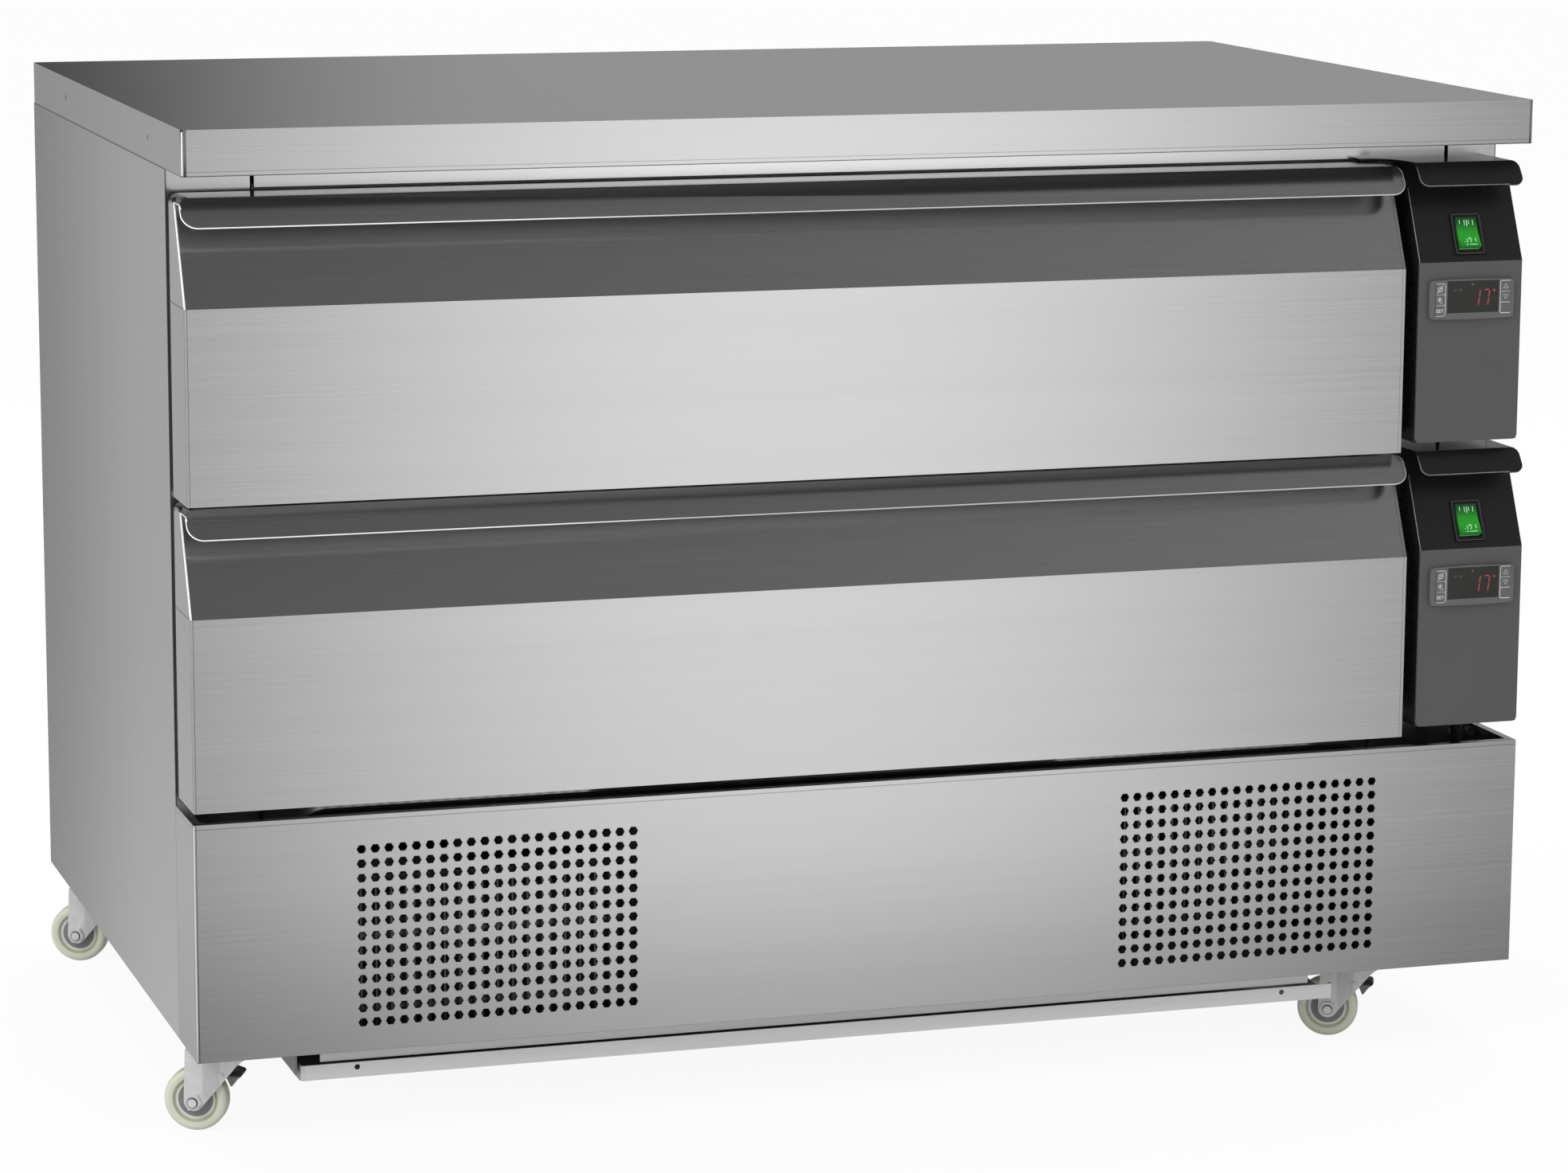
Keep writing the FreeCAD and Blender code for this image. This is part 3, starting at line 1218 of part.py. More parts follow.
def swivelled(name, pieces, x, y):
    """Pieces turned together about a castor's upright axis, so that the wheel trails to the left and back."""
    turned_pieces = group(name, pieces)
    across, back = "((%s) - origin_x)" % x, "((%s) - origin_y)" % y
    bind(turned_pieces, "Placement.Rotation.Axis.x", "0")
    bind(turned_pieces, "Placement.Rotation.Axis.y", "0")
    bind(turned_pieces, "Placement.Rotation.Axis.z", "1")
    bind(turned_pieces, "Placement.Rotation.Angle", "-castor_turn")
    bind(turned_pieces, "Placement.Base.x",
         "%s * (1 - cos(castor_turn)) - %s * sin(castor_turn)" % (across, back))
    bind(turned_pieces, "Placement.Base.y",
         "%s * (1 - cos(castor_turn)) + %s * sin(castor_turn)" % (back, across))
    return turned_pieces


def castor_fork(name, x, y, braked):
    """A pressed fork that trails its wheel, with a flare under the swivel and the wheel's bolt as a second solid."""
    foot = [("-trail + fork_foot * cos(%d)" % turn, "wheel_radius + fork_foot * sin(%d)" % turn)
            for turn in (180, 210, 240, 270, 295)]
    foot.append(("-trail + fork_foot * cos(fork_foot_angle)", "wheel_radius - fork_foot * sin(fork_foot_angle)"))
    outline_points = foot + [
        ("fork_knee_x", "fork_knee_z"), ("fork_flare_x", "fork_flare_z"), ("fork_reach", "fork_rim_z"),
        ("fork_reach", "fork_head"), ("-trail - fork_toe", "fork_head"),
    ]
    front = profile(name + "_front_sheet", "XZ_Plane", outline_points, "fork_wall", x, y, "0", "fork_half")
    back = profile(name + "_back_sheet", "XZ_Plane", outline_points, "fork_wall", x, y, "0",
                   "-fork_half - fork_wall")
    head = block(name + "_head_sheet", "(%s) - trail - fork_toe" % x, "(%s) + fork_reach" % x,
                 "(%s) - fork_half" % y, "(%s) + fork_half" % y, "fork_top", "fork_head")
    race = rod(name + "_race", x, y, "fork_head - 1", "race_radius", "race_height + 1")
    holes = [rod(name + "_pin_hole", x, y, "fork_top - 1", "pin_radius + pin_play", "race_height + fork_wall + 2"),
             rod(name + "_axle_hole", "(%s) - trail" % x, "(%s) - fork_half - fork_wall - 1" % y, "wheel_radius",
                 "axle_radius", "2 * (fork_half + fork_wall + 1)", "y")]
    if braked:
        holes.append(rod(name + "_brake_hole", "(%s) + pedal_pin_x" % x, "(%s) - fork_half - fork_wall - 1" % y,
                         "pedal_pin_z", "pedal_pin_radius + pedal_pin_play",
                         "2 * (fork_half + fork_wall + 1)", "y"))
    fork = cut(name + "_body", join(name + "_sheets", [front, back, head, race]), holes)
    end = "fork_half + fork_wall"
    shank = rod(name + "_shank", "(%s) - trail" % x, "(%s) - (%s) - nut_thick - bolt_end" % (y, end),
                "wheel_radius", "axle_radius", "2 * (%s) + 2 * nut_thick + bolt_end" % end, "y")
    nuts = [hexagon("%s_nut_%s" % (name, word), "(%s) - trail" % x, at, "wheel_radius", "nut_flats", "nut_thick")
            for word, at in (("front", "(%s) - (%s) - nut_thick" % (y, end)), ("back", "(%s) + (%s)" % (y, end)))]
    return swivelled(name, [fork, join(name + "_bolt", [shank] + nuts)], x, y)


def castor_wheel(name, x, y):
    """A wheel with a recessed web and a bore that runs on the fork's bolt."""
    half = "wheel_width / 2"
    web = "(wheel_width / 2 - web_recess)"
    body = turned(name + "_tyre", [
        ("axle_radius + wheel_play", "-" + half), ("wheel_hub_radius", "-" + half),
        ("wheel_hub_radius", "-" + web), ("web_radius", "-" + web), ("web_radius + 1.5", "-%s + 1" % half),
        ("wheel_radius - wheel_edge", "-%s + 0.5" % half), ("wheel_radius", "-%s + wheel_edge" % half),
        ("wheel_radius", "%s - wheel_edge" % half), ("wheel_radius - wheel_edge", "%s - 0.5" % half),
        ("web_radius + 1.5", "%s - 1" % half), ("web_radius", web), ("wheel_hub_radius", web),
        ("wheel_hub_radius", half), ("axle_radius + wheel_play", half),
    ])
    place(body, "(%s) - trail" % x, y, "wheel_radius")
    return swivelled(name, [lean(body, "90")], x, y)


def castor_brake(name, x, y):
    """A brake pedal on a pin across the fork: a tread that reaches out beyond it and a shoe under the tread."""
    arm = profile(name + "_arm", "XZ_Plane", [
        ("-pedal_boss", "0"), ("-pedal_boss * 0.6", "-pedal_boss * 0.8"), ("pedal_boss * 0.9", "-pedal_boss"),
        ("pedal_foot * 0.84", "-pedal_drop * 0.97"), ("pedal_foot", "-pedal_drop"),
        ("pedal_foot * 1.57", "-pedal_drop * 0.43"), ("pedal_length * 0.92", "-pedal_drop * 0.24"),
        ("pedal_length", "-pedal_drop * 0.04"), ("pedal_length * 0.94", "pedal_rise * 0.4"),
        ("pedal_length * 0.54", "pedal_rise"), ("pedal_boss * 0.5", "pedal_boss * 0.9"),
        ("-pedal_boss * 0.5", "pedal_boss * 0.85"),
    ], "pedal_width", "(%s) + pedal_pin_x" % x, y, "pedal_pin_z", "-pedal_width / 2")
    pin = rod(name + "_pin", "(%s) + pedal_pin_x" % x, "(%s) - fork_half - fork_wall - 1" % y, "pedal_pin_z",
              "pedal_pin_radius", "2 * (fork_half + fork_wall + 1)", "y")
    return swivelled(name, [join(name + "_lever", [arm, pin])], x, y)


group("castor_plates", [castor_plate("castor_plate_" + side, x, y) for side, x, y, braked in sides])
for side, x, y, braked in sides:
    castor_fork("castor_fork_" + side, x, y, braked)
    castor_wheel("castor_wheel_" + side, x, y)
    if braked:
        castor_brake("castor_brake_" + side, x, y)

# Check and write

nodes = [
    "worktop", "left_side_panel", "right_side_panel", "back_panel", "face_stiles", "face_rails", "inner_liner",
    "insulated_lids", "lid_seals", "evaporators", "runner_outer_members", "control_housing_upper",
    "control_housing_lower", "control_plates", "thermostats", "thermostat_windows", "switch_bezels",
    "base_front_panel", "base_floor", "chassis_channels", "service_tray", "condensers", "fan_shrouds",
    "compressors", "wiring_loom", "conduit", "face_screws", "castor_plates",
    "rocker_upper", "rocker_lower", "fan_rotor_left", "fan_rotor_right",
]
for unit in ("upper", "lower"):
    nodes += ["drawer_front_" + unit, "drawer_tub_" + unit, "drawer_rails_" + unit, "runner_middle_" + unit]
    nodes += ["key_%s_%s" % (unit, word) for word, side, low in key_places()]
for side, x, y, braked in sides:
    nodes += ["castor_fork_" + side, "castor_wheel_" + side]
    if braked:
        nodes.append("castor_brake_" + side)

doc.recompute()
os.makedirs("parts", exist_ok=True)
for thing in doc.Objects:
    if "Invalid" in thing.State or "Error" in thing.State:
        raise RuntimeError("%s did not recompute: %s" % (thing.Name, thing.State))
for name in nodes:
    thing = doc.getObject(name)
    if not thing.Shape.isValid() or not thing.Shape.Solids:
        raise RuntimeError("%s is not a valid solid" % name)
    thing.Shape.exportStep("parts/%s.step" % name)
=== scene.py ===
"""Refrigerated drawer base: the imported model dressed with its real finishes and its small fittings.

Metres, +Z up, the front faces -Y. Object coordinates are the model's own frame on every piece.
"""
import math

import bmesh
import bpy
import numpy as np
from mathutils import Matrix, Vector


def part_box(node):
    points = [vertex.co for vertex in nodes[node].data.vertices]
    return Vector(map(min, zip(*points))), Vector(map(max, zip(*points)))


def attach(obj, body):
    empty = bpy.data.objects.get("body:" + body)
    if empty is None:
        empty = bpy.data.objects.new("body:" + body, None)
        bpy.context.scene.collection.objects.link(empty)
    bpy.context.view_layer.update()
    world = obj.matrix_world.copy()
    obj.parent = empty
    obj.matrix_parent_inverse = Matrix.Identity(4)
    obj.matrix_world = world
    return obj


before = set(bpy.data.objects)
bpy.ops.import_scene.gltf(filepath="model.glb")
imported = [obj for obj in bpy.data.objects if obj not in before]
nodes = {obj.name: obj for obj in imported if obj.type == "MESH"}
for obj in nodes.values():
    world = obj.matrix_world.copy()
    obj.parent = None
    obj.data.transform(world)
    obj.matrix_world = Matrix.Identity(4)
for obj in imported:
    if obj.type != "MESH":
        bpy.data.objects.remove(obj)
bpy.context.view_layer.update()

scene = bpy.context.scene
scene.view_settings.view_transform = "Standard"


# The studio: a camera at standing height to the left of the front, a pale sweep on the floor, and a
# room whose front wall glows in a soft upright band, so that brushed sheet shows one broad highlight.

def tone(red, green=None, blue=None):
    """A colour as it looks on a screen, 0 to 255 a channel, turned into a linear one with alpha 1."""
    screen = np.array([red, red if green is None else green, red if blue is None else blue]) / 255.0
    linear = np.where(screen <= 0.04045, screen / 12.92, ((screen + 0.055) / 1.055) ** 2.4)
    return (*[float(part) for part in linear], 1.0)


class Wire:
    """A shader value: a sum, difference, product, quotient or power of it adds that Math node."""

    def __init__(self, tree, socket):
        self.tree = tree
        self.socket = socket

    def __add__(self, other):
        return self.tree.math("ADD", self, other)

    def __sub__(self, other):
        return self.tree.math("SUBTRACT", self, other)

    def __mul__(self, other):
        return self.tree.math("MULTIPLY", self, other)

    def __truediv__(self, other):
        return self.tree.math("DIVIDE", self, other)

    def __pow__(self, other):
        return self.tree.math("POWER", self, other)

    def __radd__(self, other):
        return self.tree.math("ADD", other, self)

    def __rsub__(self, other):
        return self.tree.math("SUBTRACT", other, self)

    def __rmul__(self, other):
        return self.tree.math("MULTIPLY", other, self)

    def __rtruediv__(self, other):
        return self.tree.math("DIVIDE", other, self)


class Tree:
    """The nodes of one material or of the world, with its shader already joined to the output."""

    def __init__(self, owner, shader, output):
        owner.use_nodes = True
        self.links = owner.node_tree.links
        self.nodes = owner.node_tree.nodes
        self.nodes.clear()
        self.shader = self.nodes.new(shader)
        self.end = self.nodes.new(output)
        self.links.new(self.shader.outputs[0], self.end.inputs[0])

    def feed(self, socket, value):
        """Joins a wire to a socket, or sets the socket to a plain value."""
        if isinstance(value, Wire):
            self.links.new(value.socket, socket)
        else:
            socket.default_value = value

    def node(self, kind, settings=None, sockets=None, output=0):
        """Adds a node of a kind: first its settings, then a value or a wire for each named socket."""
        added = self.nodes.new(kind)
        for name, value in (settings or {}).items():
            setattr(added, name, value)
        for name, value in (sockets or {}).items():
            self.feed(added.inputs[name], value)
        return Wire(self, added.outputs[output])

    def math(self, operation, *values):
        """One Math node of this operation."""
        return self.node("ShaderNodeMath", {"operation": operation}, dict(enumerate(values)))

    def step(self, value, low, high):
        """0 below low, 1 above high, and a smooth rise between them."""
        return self.node("ShaderNodeMapRange", {"interpolation_type": "SMOOTHSTEP"},
                         {"Value": value, "From Min": low, "From Max": high})

    def band(self, value, low, high, soft):
        """1 between low and high, 0 outside them, over a soft edge."""
        return self.step(value, low - soft, low) * (1 - self.step(value, high, high + soft))

    def place(self):
        """The point on the object, and its x, y and z."""
        at = self.node("ShaderNodeTexCoord", output="Object")
        return at, *[self.node("ShaderNodeSeparateXYZ", None, {0: at}, axis) for axis in "XYZ"]

    def noise(self, at, scale, detail=2.0, rough=0.5):
        """Cloudy noise of 0 to 1, with its own number of clouds a metre along x, y and z."""
        stretched = self.node("ShaderNodeVectorMath", {"operation": "MULTIPLY"}, {0: at, 1: scale})
        return self.node("ShaderNodeTexNoise", None,
                         {"Vector": stretched, "Scale": 1.0, "Detail": detail, "Roughness": rough})

    def mix(self, share, first, second):
        """A colour between two colours."""
        return self.node("ShaderNodeMix", {"data_type": "RGBA"}, {0: share, 6: first, 7: second}, 2)

    def bump(self, height, distance, strength=1.0):
        """The normal of a surface whose height is a wire of 0 to 1, that many metres deep."""
        return self.node("ShaderNodeBump", None,
                         {"Height": height, "Distance": distance, "Strength": strength})

    def dress(self, **sockets):
        """Sets the shader's sockets by name, with _ for a space."""
        for name, value in sockets.items():
            self.feed(self.shader.inputs[name.replace("_", " ")], value)


def finish(name):
    """A new material with a Principled surface."""
    material = bpy.data.materials.new(name)
    return material, Tree(material, "ShaderNodeBsdfPrincipled", "ShaderNodeOutputMaterial")


view_from = Vector((-1.2197, -3.9241, 1.1075))
yaw, pitch, roll = 0.308865, 0.181504, 0.005192
lens_mm, sensor_mm = 112.87, 36
room_strength, floor_glow = 0.92, 0.92
ahead = Vector((math.sin(yaw) * math.cos(pitch), math.cos(yaw) * math.cos(pitch), -math.sin(pitch)))
right = Vector((math.cos(yaw), -math.sin(yaw), 0))
above = right.cross(ahead)
across = right * math.cos(roll) + above * math.sin(roll)
above = above * math.cos(roll) - right * math.sin(roll)
camera = bpy.data.objects.new("camera", bpy.data.cameras.new("camera"))
camera.data.lens = lens_mm
camera.data.sensor_width = sensor_mm
camera.data.sensor_fit = "HORIZONTAL"
camera.matrix_world = Matrix((across, above, -ahead)).transposed().to_4x4()
camera.location = view_from
scene.collection.objects.link(camera)
scene.camera = camera

room = bpy.data.worlds.new("room")
scene.world = room
sky = Tree(room, "ShaderNodeBackground", "ShaderNodeOutputWorld")
heading = sky.node("ShaderNodeTexCoord", output="Generated")
east, north, up = [sky.node("ShaderNodeSeparateXYZ", None, {0: heading}, axis) for axis in "XYZ"]
level = (east * east + north * north + 0.0001) ** 0.5
glow = (east * math.sin(yaw) - north * math.cos(yaw)) / level
sideways = east / level
front_wall = (0.22 + 0.93 * sky.step(glow, 0.988, 1.001)) * (1 + 0.12 * sky.step(up, -0.105, -0.080))
back_high = 0.04 + 0.30 * sky.step(sideways, 0.14, 0.25)
back_low = 0.55 - 0.10 * sky.step(up, -0.30, -0.16)
back_wall = sky.node("ShaderNodeMix", None, {0: sky.step(up, -0.035, 0.0), 2: back_low, 3: back_high})
low_walls = sky.node("ShaderNodeMix", None, {0: sky.step(glow, -0.2, 0.5), 2: back_wall, 3: front_wall})
near_floor = sky.step(glow, 0.1, 0.6) * (1 - sky.step(up, -0.320, -0.235))
ceiling = (0.045 + 0.30 * sideways) * (1 - 0.40 * sky.step(up, 0.6, 0.85))
seen_in_steel = sky.node("ShaderNodeMix", None, {0: sky.step(up, 0.16, 0.40),
                                                 2: low_walls * (1 - 0.62 * near_floor), 3: ceiling})
ray = sky.node("ShaderNodeLightPath", output="Is Glossy Ray")
path = ray.socket.node.outputs
mirrored_ray = sky.math("MAXIMUM", ray, Wire(sky, path["Is Transmission Ray"]))
plain = room_strength * (1 - mirrored_ray) + seen_in_steel * mirrored_ray
sky.dress(Color=(1, 1, 1, 1), Strength=sky.math("MAXIMUM", plain, Wire(sky, path["Is Camera Ray"])))


def lamp(name, energy, size, at, aim):
    """A square area lamp at a place, turned to its aim."""
    light = bpy.data.objects.new(name, bpy.data.lights.new(name, "AREA"))
    light.data.energy = energy
    light.data.size = size
    light.location = at
    light.rotation_euler = (Vector(aim) - Vector(at)).to_track_quat("-Z", "Y").to_euler()
    scene.collection.objects.link(light)
    return light


lamp("side_lamp", 70, 2.4, (-3.4, -2.0, 3.2), (0, 0, 0.4))
lamp("top_lamp", 60, 3.0, (0.6, 1.4, 3.6), (0, 0, 0.4)).visible_glossy = False

floor_reach = 14.0
floor_mesh = bpy.data.meshes.new("floor")
floor_corners = [(-floor_reach, -floor_reach, 0), (floor_reach, -floor_reach, 0),
                 (floor_reach, floor_reach, 0), (-floor_reach, floor_reach, 0)]
floor_mesh.from_pydata(floor_corners, [], [(0, 1, 2, 3)])
floor = bpy.data.objects.new("floor", floor_mesh)
scene.collection.objects.link(floor)
floor.visible_glossy = False
paper, sweep_paper = finish("floor_paper")
floor_mesh.materials.append(paper)
grain = sweep_paper.noise(sweep_paper.place()[0], (6, 6, 6))
sweep_paper.dress(Base_Color=sweep_paper.mix(grain, tone(238), tone(244)), Roughness=0.9)
white = sweep_paper.node("ShaderNodeEmission", None, {"Color": (1, 1, 1, 1), "Strength": 1.0})
shown = sweep_paper.node("ShaderNodeLightPath", output="Is Camera Ray")
rays = shown.socket.node.outputs
shown = shown + Wire(sweep_paper, rays["Is Glossy Ray"]) + Wire(sweep_paper, rays["Is Transmission Ray"])
part_white = sweep_paper.node("ShaderNodeMixShader", None,
                              {0: shown * floor_glow, 1: Wire(sweep_paper, sweep_paper.shader.outputs[0]),
                               2: white})
sweep_paper.links.new(part_white.socket, sweep_paper.end.inputs[0])


# Castors: zinc-plated swivel forks under square top plates, cream nylon wheels on a bolt with a hex nut,
# and a stamped brake pedal painted black on the two front ones. All four are bolted under the floor.

def wear(names, material):
    """Gives CAD nodes a material in each of their slots."""
    for name in names.split():
        for slot in range(len(nodes[name].data.materials)):
            nodes[name].data.materials[slot] = material


def soften(names, width, segments=2, angle=30):
    """Breaks the sharp edges of CAD nodes: their triangles are welded and their folds get a small radius."""
    for name in names.split():
        weld = nodes[name].modifiers.new("weld", "WELD")
        weld.merge_threshold = 0.00001
        edge = nodes[name].modifiers.new("edge", "BEVEL")
        edge.width = width
        edge.segments = segments
        edge.limit_method = "ANGLE"
        edge.angle_limit = math.radians(angle)
        edge.harden_normals = True


def built(name, parts, material, body, smooth=True):
    """One new piece out of several sets of points and faces, its faces turned outward, riding on a body."""
    points, faces = [], []
    for more, rings in parts:
        start = sum(len(held) for held in points)
        points.append(more)
        faces += [tuple(corner + start for corner in face) for face in rings]
    mesh = bpy.data.meshes.new(name)
    mesh.from_pydata(np.vstack(points).tolist(), [], faces)
    turned = bmesh.new()
    turned.from_mesh(mesh)
    bmesh.ops.recalc_face_normals(turned, faces=turned.faces)
    turned.to_mesh(mesh)
    turned.free()
    if smooth:
        mesh.shade_smooth()
    mesh.materials.append(material)
    piece = bpy.data.objects.new(name, mesh)
    scene.collection.objects.link(piece)
    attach(piece, body)
    return piece


def swept(path, section, rise, loop=False):
    """A section carried along a path: each point is the path's point, plus the section's first number
    times the travel crossed with the rise, plus its second number times the rise. Open ends close on a
    middle point."""
    path, section = np.asarray(path, float), np.asarray(section, float)
    if loop:
        travel = np.roll(path, -1, 0) - np.roll(path, 1, 0)
    else:
        travel = np.gradient(path, axis=0)
    side = np.cross(travel, np.asarray(rise, float))
    side /= np.linalg.norm(side, axis=1, keepdims=True)
    high = np.cross(side, travel)
    high /= np.linalg.norm(high, axis=1, keepdims=True)
    grid = path[:, None] + section[None, :, :1] * side[:, None] + section[None, :, 1:] * high[:, None]
    index = np.arange(grid.shape[0] * grid.shape[1]).reshape(grid.shape[:2])
    rows = np.vstack([index, index[:1]]) if loop else index
    near, far = rows[:-1], rows[1:]
    faces = np.stack([near, np.roll(near, -1, 1), np.roll(far, -1, 1), far], -1).reshape(-1, 4).tolist()
    points = grid.reshape(-1, 3)
    if not loop:
        count = len(points)
        points = np.vstack([points, path[:1], path[-1:]])
        for ring, middle in ((index[0], count), (index[-1], count + 1)):
            faces += np.stack([ring, np.roll(ring, -1), np.full(len(ring), middle)], -1).tolist()
    return points, faces


def circle(radius, count=10):
    """A round section: the cosine and the sine of equal turns, times the radius."""
    turn = np.arange(count) / count * 2 * np.pi
    return radius * np.stack([np.cos(turn), np.sin(turn)], 1)


def slab(wide, thick):
    """A flat section, as wide across the path as the first number."""
    return np.array([(-wide, -thick), (wide, -thick), (wide, thick), (-wide, thick)]) / 2


def rounded(corners, radius, steps=8, loop=False):
    """A flat path through corners, each replaced by an arc: a blend of its two touching points and the
    corner with weights that make it a circle of that radius."""
    corners = np.asarray(corners, float)
    count = len(corners)
    path = [] if loop else [corners[:1]]
    for number in range(count) if loop else range(1, count - 1):
        before = corners[number - 1] - corners[number]
        after = corners[(number + 1) % count] - corners[number]
        before, after = before / np.linalg.norm(before), after / np.linalg.norm(after)
        half = math.acos(max(-1.0, min(1.0, float(before @ after)))) / 2
        touch = radius / math.tan(half)
        share = np.linspace(0, 1, steps + 1)[:, None]
        first, last = (1 - share) ** 2, share ** 2
        middle = 2 * share * (1 - share) * math.sin(half)
        path.append((first * (corners[number] + touch * before) + middle * corners[number]
                     + last * (corners[number] + touch * after)) / (first + middle + last))
    if not loop:
        path.append(corners[-1:])
    return np.vstack(path)


def laid(path, start, along, down):
    """A flat path put in space: the start, plus its first number along one direction and its second
    along another."""
    along, down = np.asarray(along, float), np.asarray(down, float)
    return np.asarray(start) + path[:, :1] * along + path[:, 1:] * down


def plated(name, dark, light, cells, rough, marks=None, metal=1.0):
    """Zinc on steel: crystal cells of slightly different grey under cloudy noise, duller where darker. A
    marks function of the tree and x, y, z may darken places by a share of 0 to 1; a matt coat is less
    metal."""
    material, zinc = finish(name)
    at, x, y, z = zinc.place()
    spangle = zinc.node("ShaderNodeTexVoronoi", None, {"Vector": at, "Scale": cells}, "Color")
    flake = zinc.node("ShaderNodeSeparateColor", None, {0: spangle}, 0)
    cloud = zinc.noise(at, (40, 40, 40), 3)
    share = flake * 0.4 + cloud * 0.6
    scratch = zinc.noise(at, (30, 900, 900), 2)
    colour = zinc.mix(share, dark, light)
    if marks:
        colour = zinc.mix(marks(zinc, x, y, z), colour, tone(50))
    zinc.dress(Base_Color=colour, Metallic=metal, Roughness=rough + 0.16 * cloud,
               Normal=zinc.bump(scratch + 0.3 * flake, 0.00003))
    return material


def moulded(name, dark, light, rough, grit=1200, depth=0.00003):
    """Moulded plastic or paint: two close colours in cloudy noise under a fine pebbled skin."""
    material, resin = finish(name)
    at = resin.place()[0]
    cloud = resin.noise(at, (18, 18, 18), 3)
    pebble = resin.noise(at, (grit, grit, grit), 1)
    smear = resin.noise(at, (60, 60, 200), 3)
    resin.dress(Base_Color=resin.mix(cloud, dark, light), Roughness=rough + 0.14 * smear,
                Normal=resin.bump(pebble, depth))
    return material


castors = ("front_left", "front_right", "back_left", "back_right")
castor_turn = math.radians(25)
wear("castor_plates", plated("castor_plate_zinc", tone(150), tone(190), 260, 0.3))


def about_axle(tree, x, y, z, middle):
    """The distance from a castor's axle and the distance along the fork from it, both in metres."""
    right_of, behind, over = x - middle.x, y - middle.y, z - middle.z
    along = right_of * math.cos(castor_turn) - behind * math.sin(castor_turn)
    return (along * along + over * over) ** 0.5, along


for corner in castors:
    low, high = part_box("castor_wheel_" + corner)
    middle = (low + high) / 2

    def fork_shade_marks(zinc, x, y, z, middle=middle):
        """Painted shade: the pressed rib right of the axle is darkened, and a dark ring of painted shade
        parts the bolt from its nut.
        """
        radius, along = about_axle(zinc, x, y, z, middle)
        rib = zinc.band(along, 0.0085, 0.0200, 0.0025) * zinc.step(radius, 0.008, 0.011)
        return 0.20 * rib + 0.95 * zinc.band(radius, 0.0036, 0.0041, 0.0002)

    wear("castor_fork_" + corner, plated("fork_zinc_" + corner, tone(214, 214, 214), tone(232, 232, 232),
                                         260, 0.26, fork_shade_marks, 0.25))
    soften("castor_fork_" + corner, 0.0004, 2)
    material, resin = finish("wheel_nylon_" + corner)
    at, x, y, z = resin.place()
    radius, along = about_axle(resin, x, y, z, middle)
    scuff = resin.noise(at, (260, 260, 260), 4, 0.7)
    cream = resin.mix(scuff, tone(202, 205, 186), tone(212, 215, 198))
    # The groove outside the ridge and the rounded edge of the tread are darkened: painted shade.
    groove = resin.band(radius, 0.0164, 0.0176, 0.0010)
    painted_light = resin.mix(0.55 * groove + 0.35 * resin.step(radius, 0.0235, 0.0251), cream, tone(138, 144, 104))
    ridge = resin.mix(resin.step(radius, 0.0150, 0.0154), tone(214, 215, 208), painted_light)
    hub = resin.mix(resin.step(radius, 0.0136, 0.0142), tone(126, 126, 127), ridge)
    resin.dress(Base_Color=hub, Roughness=0.30 + 0.16 * scuff, Normal=resin.bump(scuff, 0.00004))
    wear("castor_wheel_" + corner, material)
    soften("castor_wheel_" + corner, 0.0012, 3)
for corner in castors[:2]:
    low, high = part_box("castor_wheel_" + corner)
    middle = (low + high) / 2
    material, paint = finish("brake_paint_" + corner)
    at, x, y, z = paint.place()
    sideways_of = (x - middle.x) * math.sin(castor_turn) + (y - middle.y) * math.cos(castor_turn)
    pin_end = paint.step((sideways_of * sideways_of) ** 0.5, 0.0086, 0.0090)
    low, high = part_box("castor_brake_" + corner)
    under = 1 - paint.step(z, low.z + 0.0070, low.z + 0.0090)
    tread = paint.mix(paint.noise(at, (300, 300, 300), 3), tone(20), tone(32))
    tread = paint.mix(under, tread, tone(112, 112, 106))
    bare = paint.mix(paint.noise(at, (300, 300, 300), 2), tone(196), tone(224))
    paint.dress(Base_Color=paint.mix(pin_end, tread, bare), Metallic=0.3 * pin_end,
                Roughness=0.3 + 0.2 * paint.noise(at, (900, 900, 900), 1))
    wear("castor_brake_" + corner, material)


# Chassis: roll-formed galvanised channels across the floor, long rails under the sides and the service
# tray between them, all riveted under the galvanised machine floor.

tray_low, tray_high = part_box("service_tray")


def rolled(name, dark, light, marks):
    """Galvanised strip rolled along x: long dull streaks over the zinc, and a marks function for its
    shade."""
    material, strip = finish(name)
    at, x, y, z = strip.place()
    streak = strip.noise(at, (6, 500, 500), 2)
    cloud = strip.noise(at, (30, 200, 200), 3)
    clean = strip.mix(streak * 0.6 + cloud * 0.4, dark, light)
    strip.dress(Base_Color=strip.mix(marks(strip, x, y, z), clean, tone(40)), Metallic=0.25,
                Roughness=0.34 + 0.16 * cloud, Normal=strip.bump(streak, 0.00002))
    return material


def tray_ends(strip, x, near, far):
    """1 past the tray's two ends and 0 between them, over a soft edge from near to far inside each end."""
    left = 1 - strip.step(x, tray_low.x + near, tray_low.x + far)
    return strip.math("MAXIMUM", left, strip.step(x, tray_high.x - far, tray_high.x - near))


def shaded_ends(strip, x, y, z):
    """Painted shade: the rails outside the tray are darkened where they lie in shade under the cabinet; only
    the channel's front over the tray is left bright.
    """
    return 0.70 * tray_ends(strip, x, 0.0150, 0.0152)


def tray_shade_marks(strip, x, y, z):
    """The tray's ends are turned back and are darkened with painted shade."""
    return 0.45 * tray_ends(strip, x, 0.0004, 0.0010)


wear("base_floor inner_liner", plated("galvanised", tone(150, 152, 152), tone(204, 206, 206), 120, 0.34))
wear("chassis_channels", rolled("channel_zinc", tone(208), tone(232), shaded_ends))
wear("service_tray", rolled("tray_zinc", tone(208), tone(232), tray_shade_marks))
soften("chassis_channels service_tray", 0.0003)


# Machine compartment: two finned aluminium condensers with black enamelled shrouds, plastic fan blades
# and domed compressors in black enamel, standing on the floor behind the grilles.

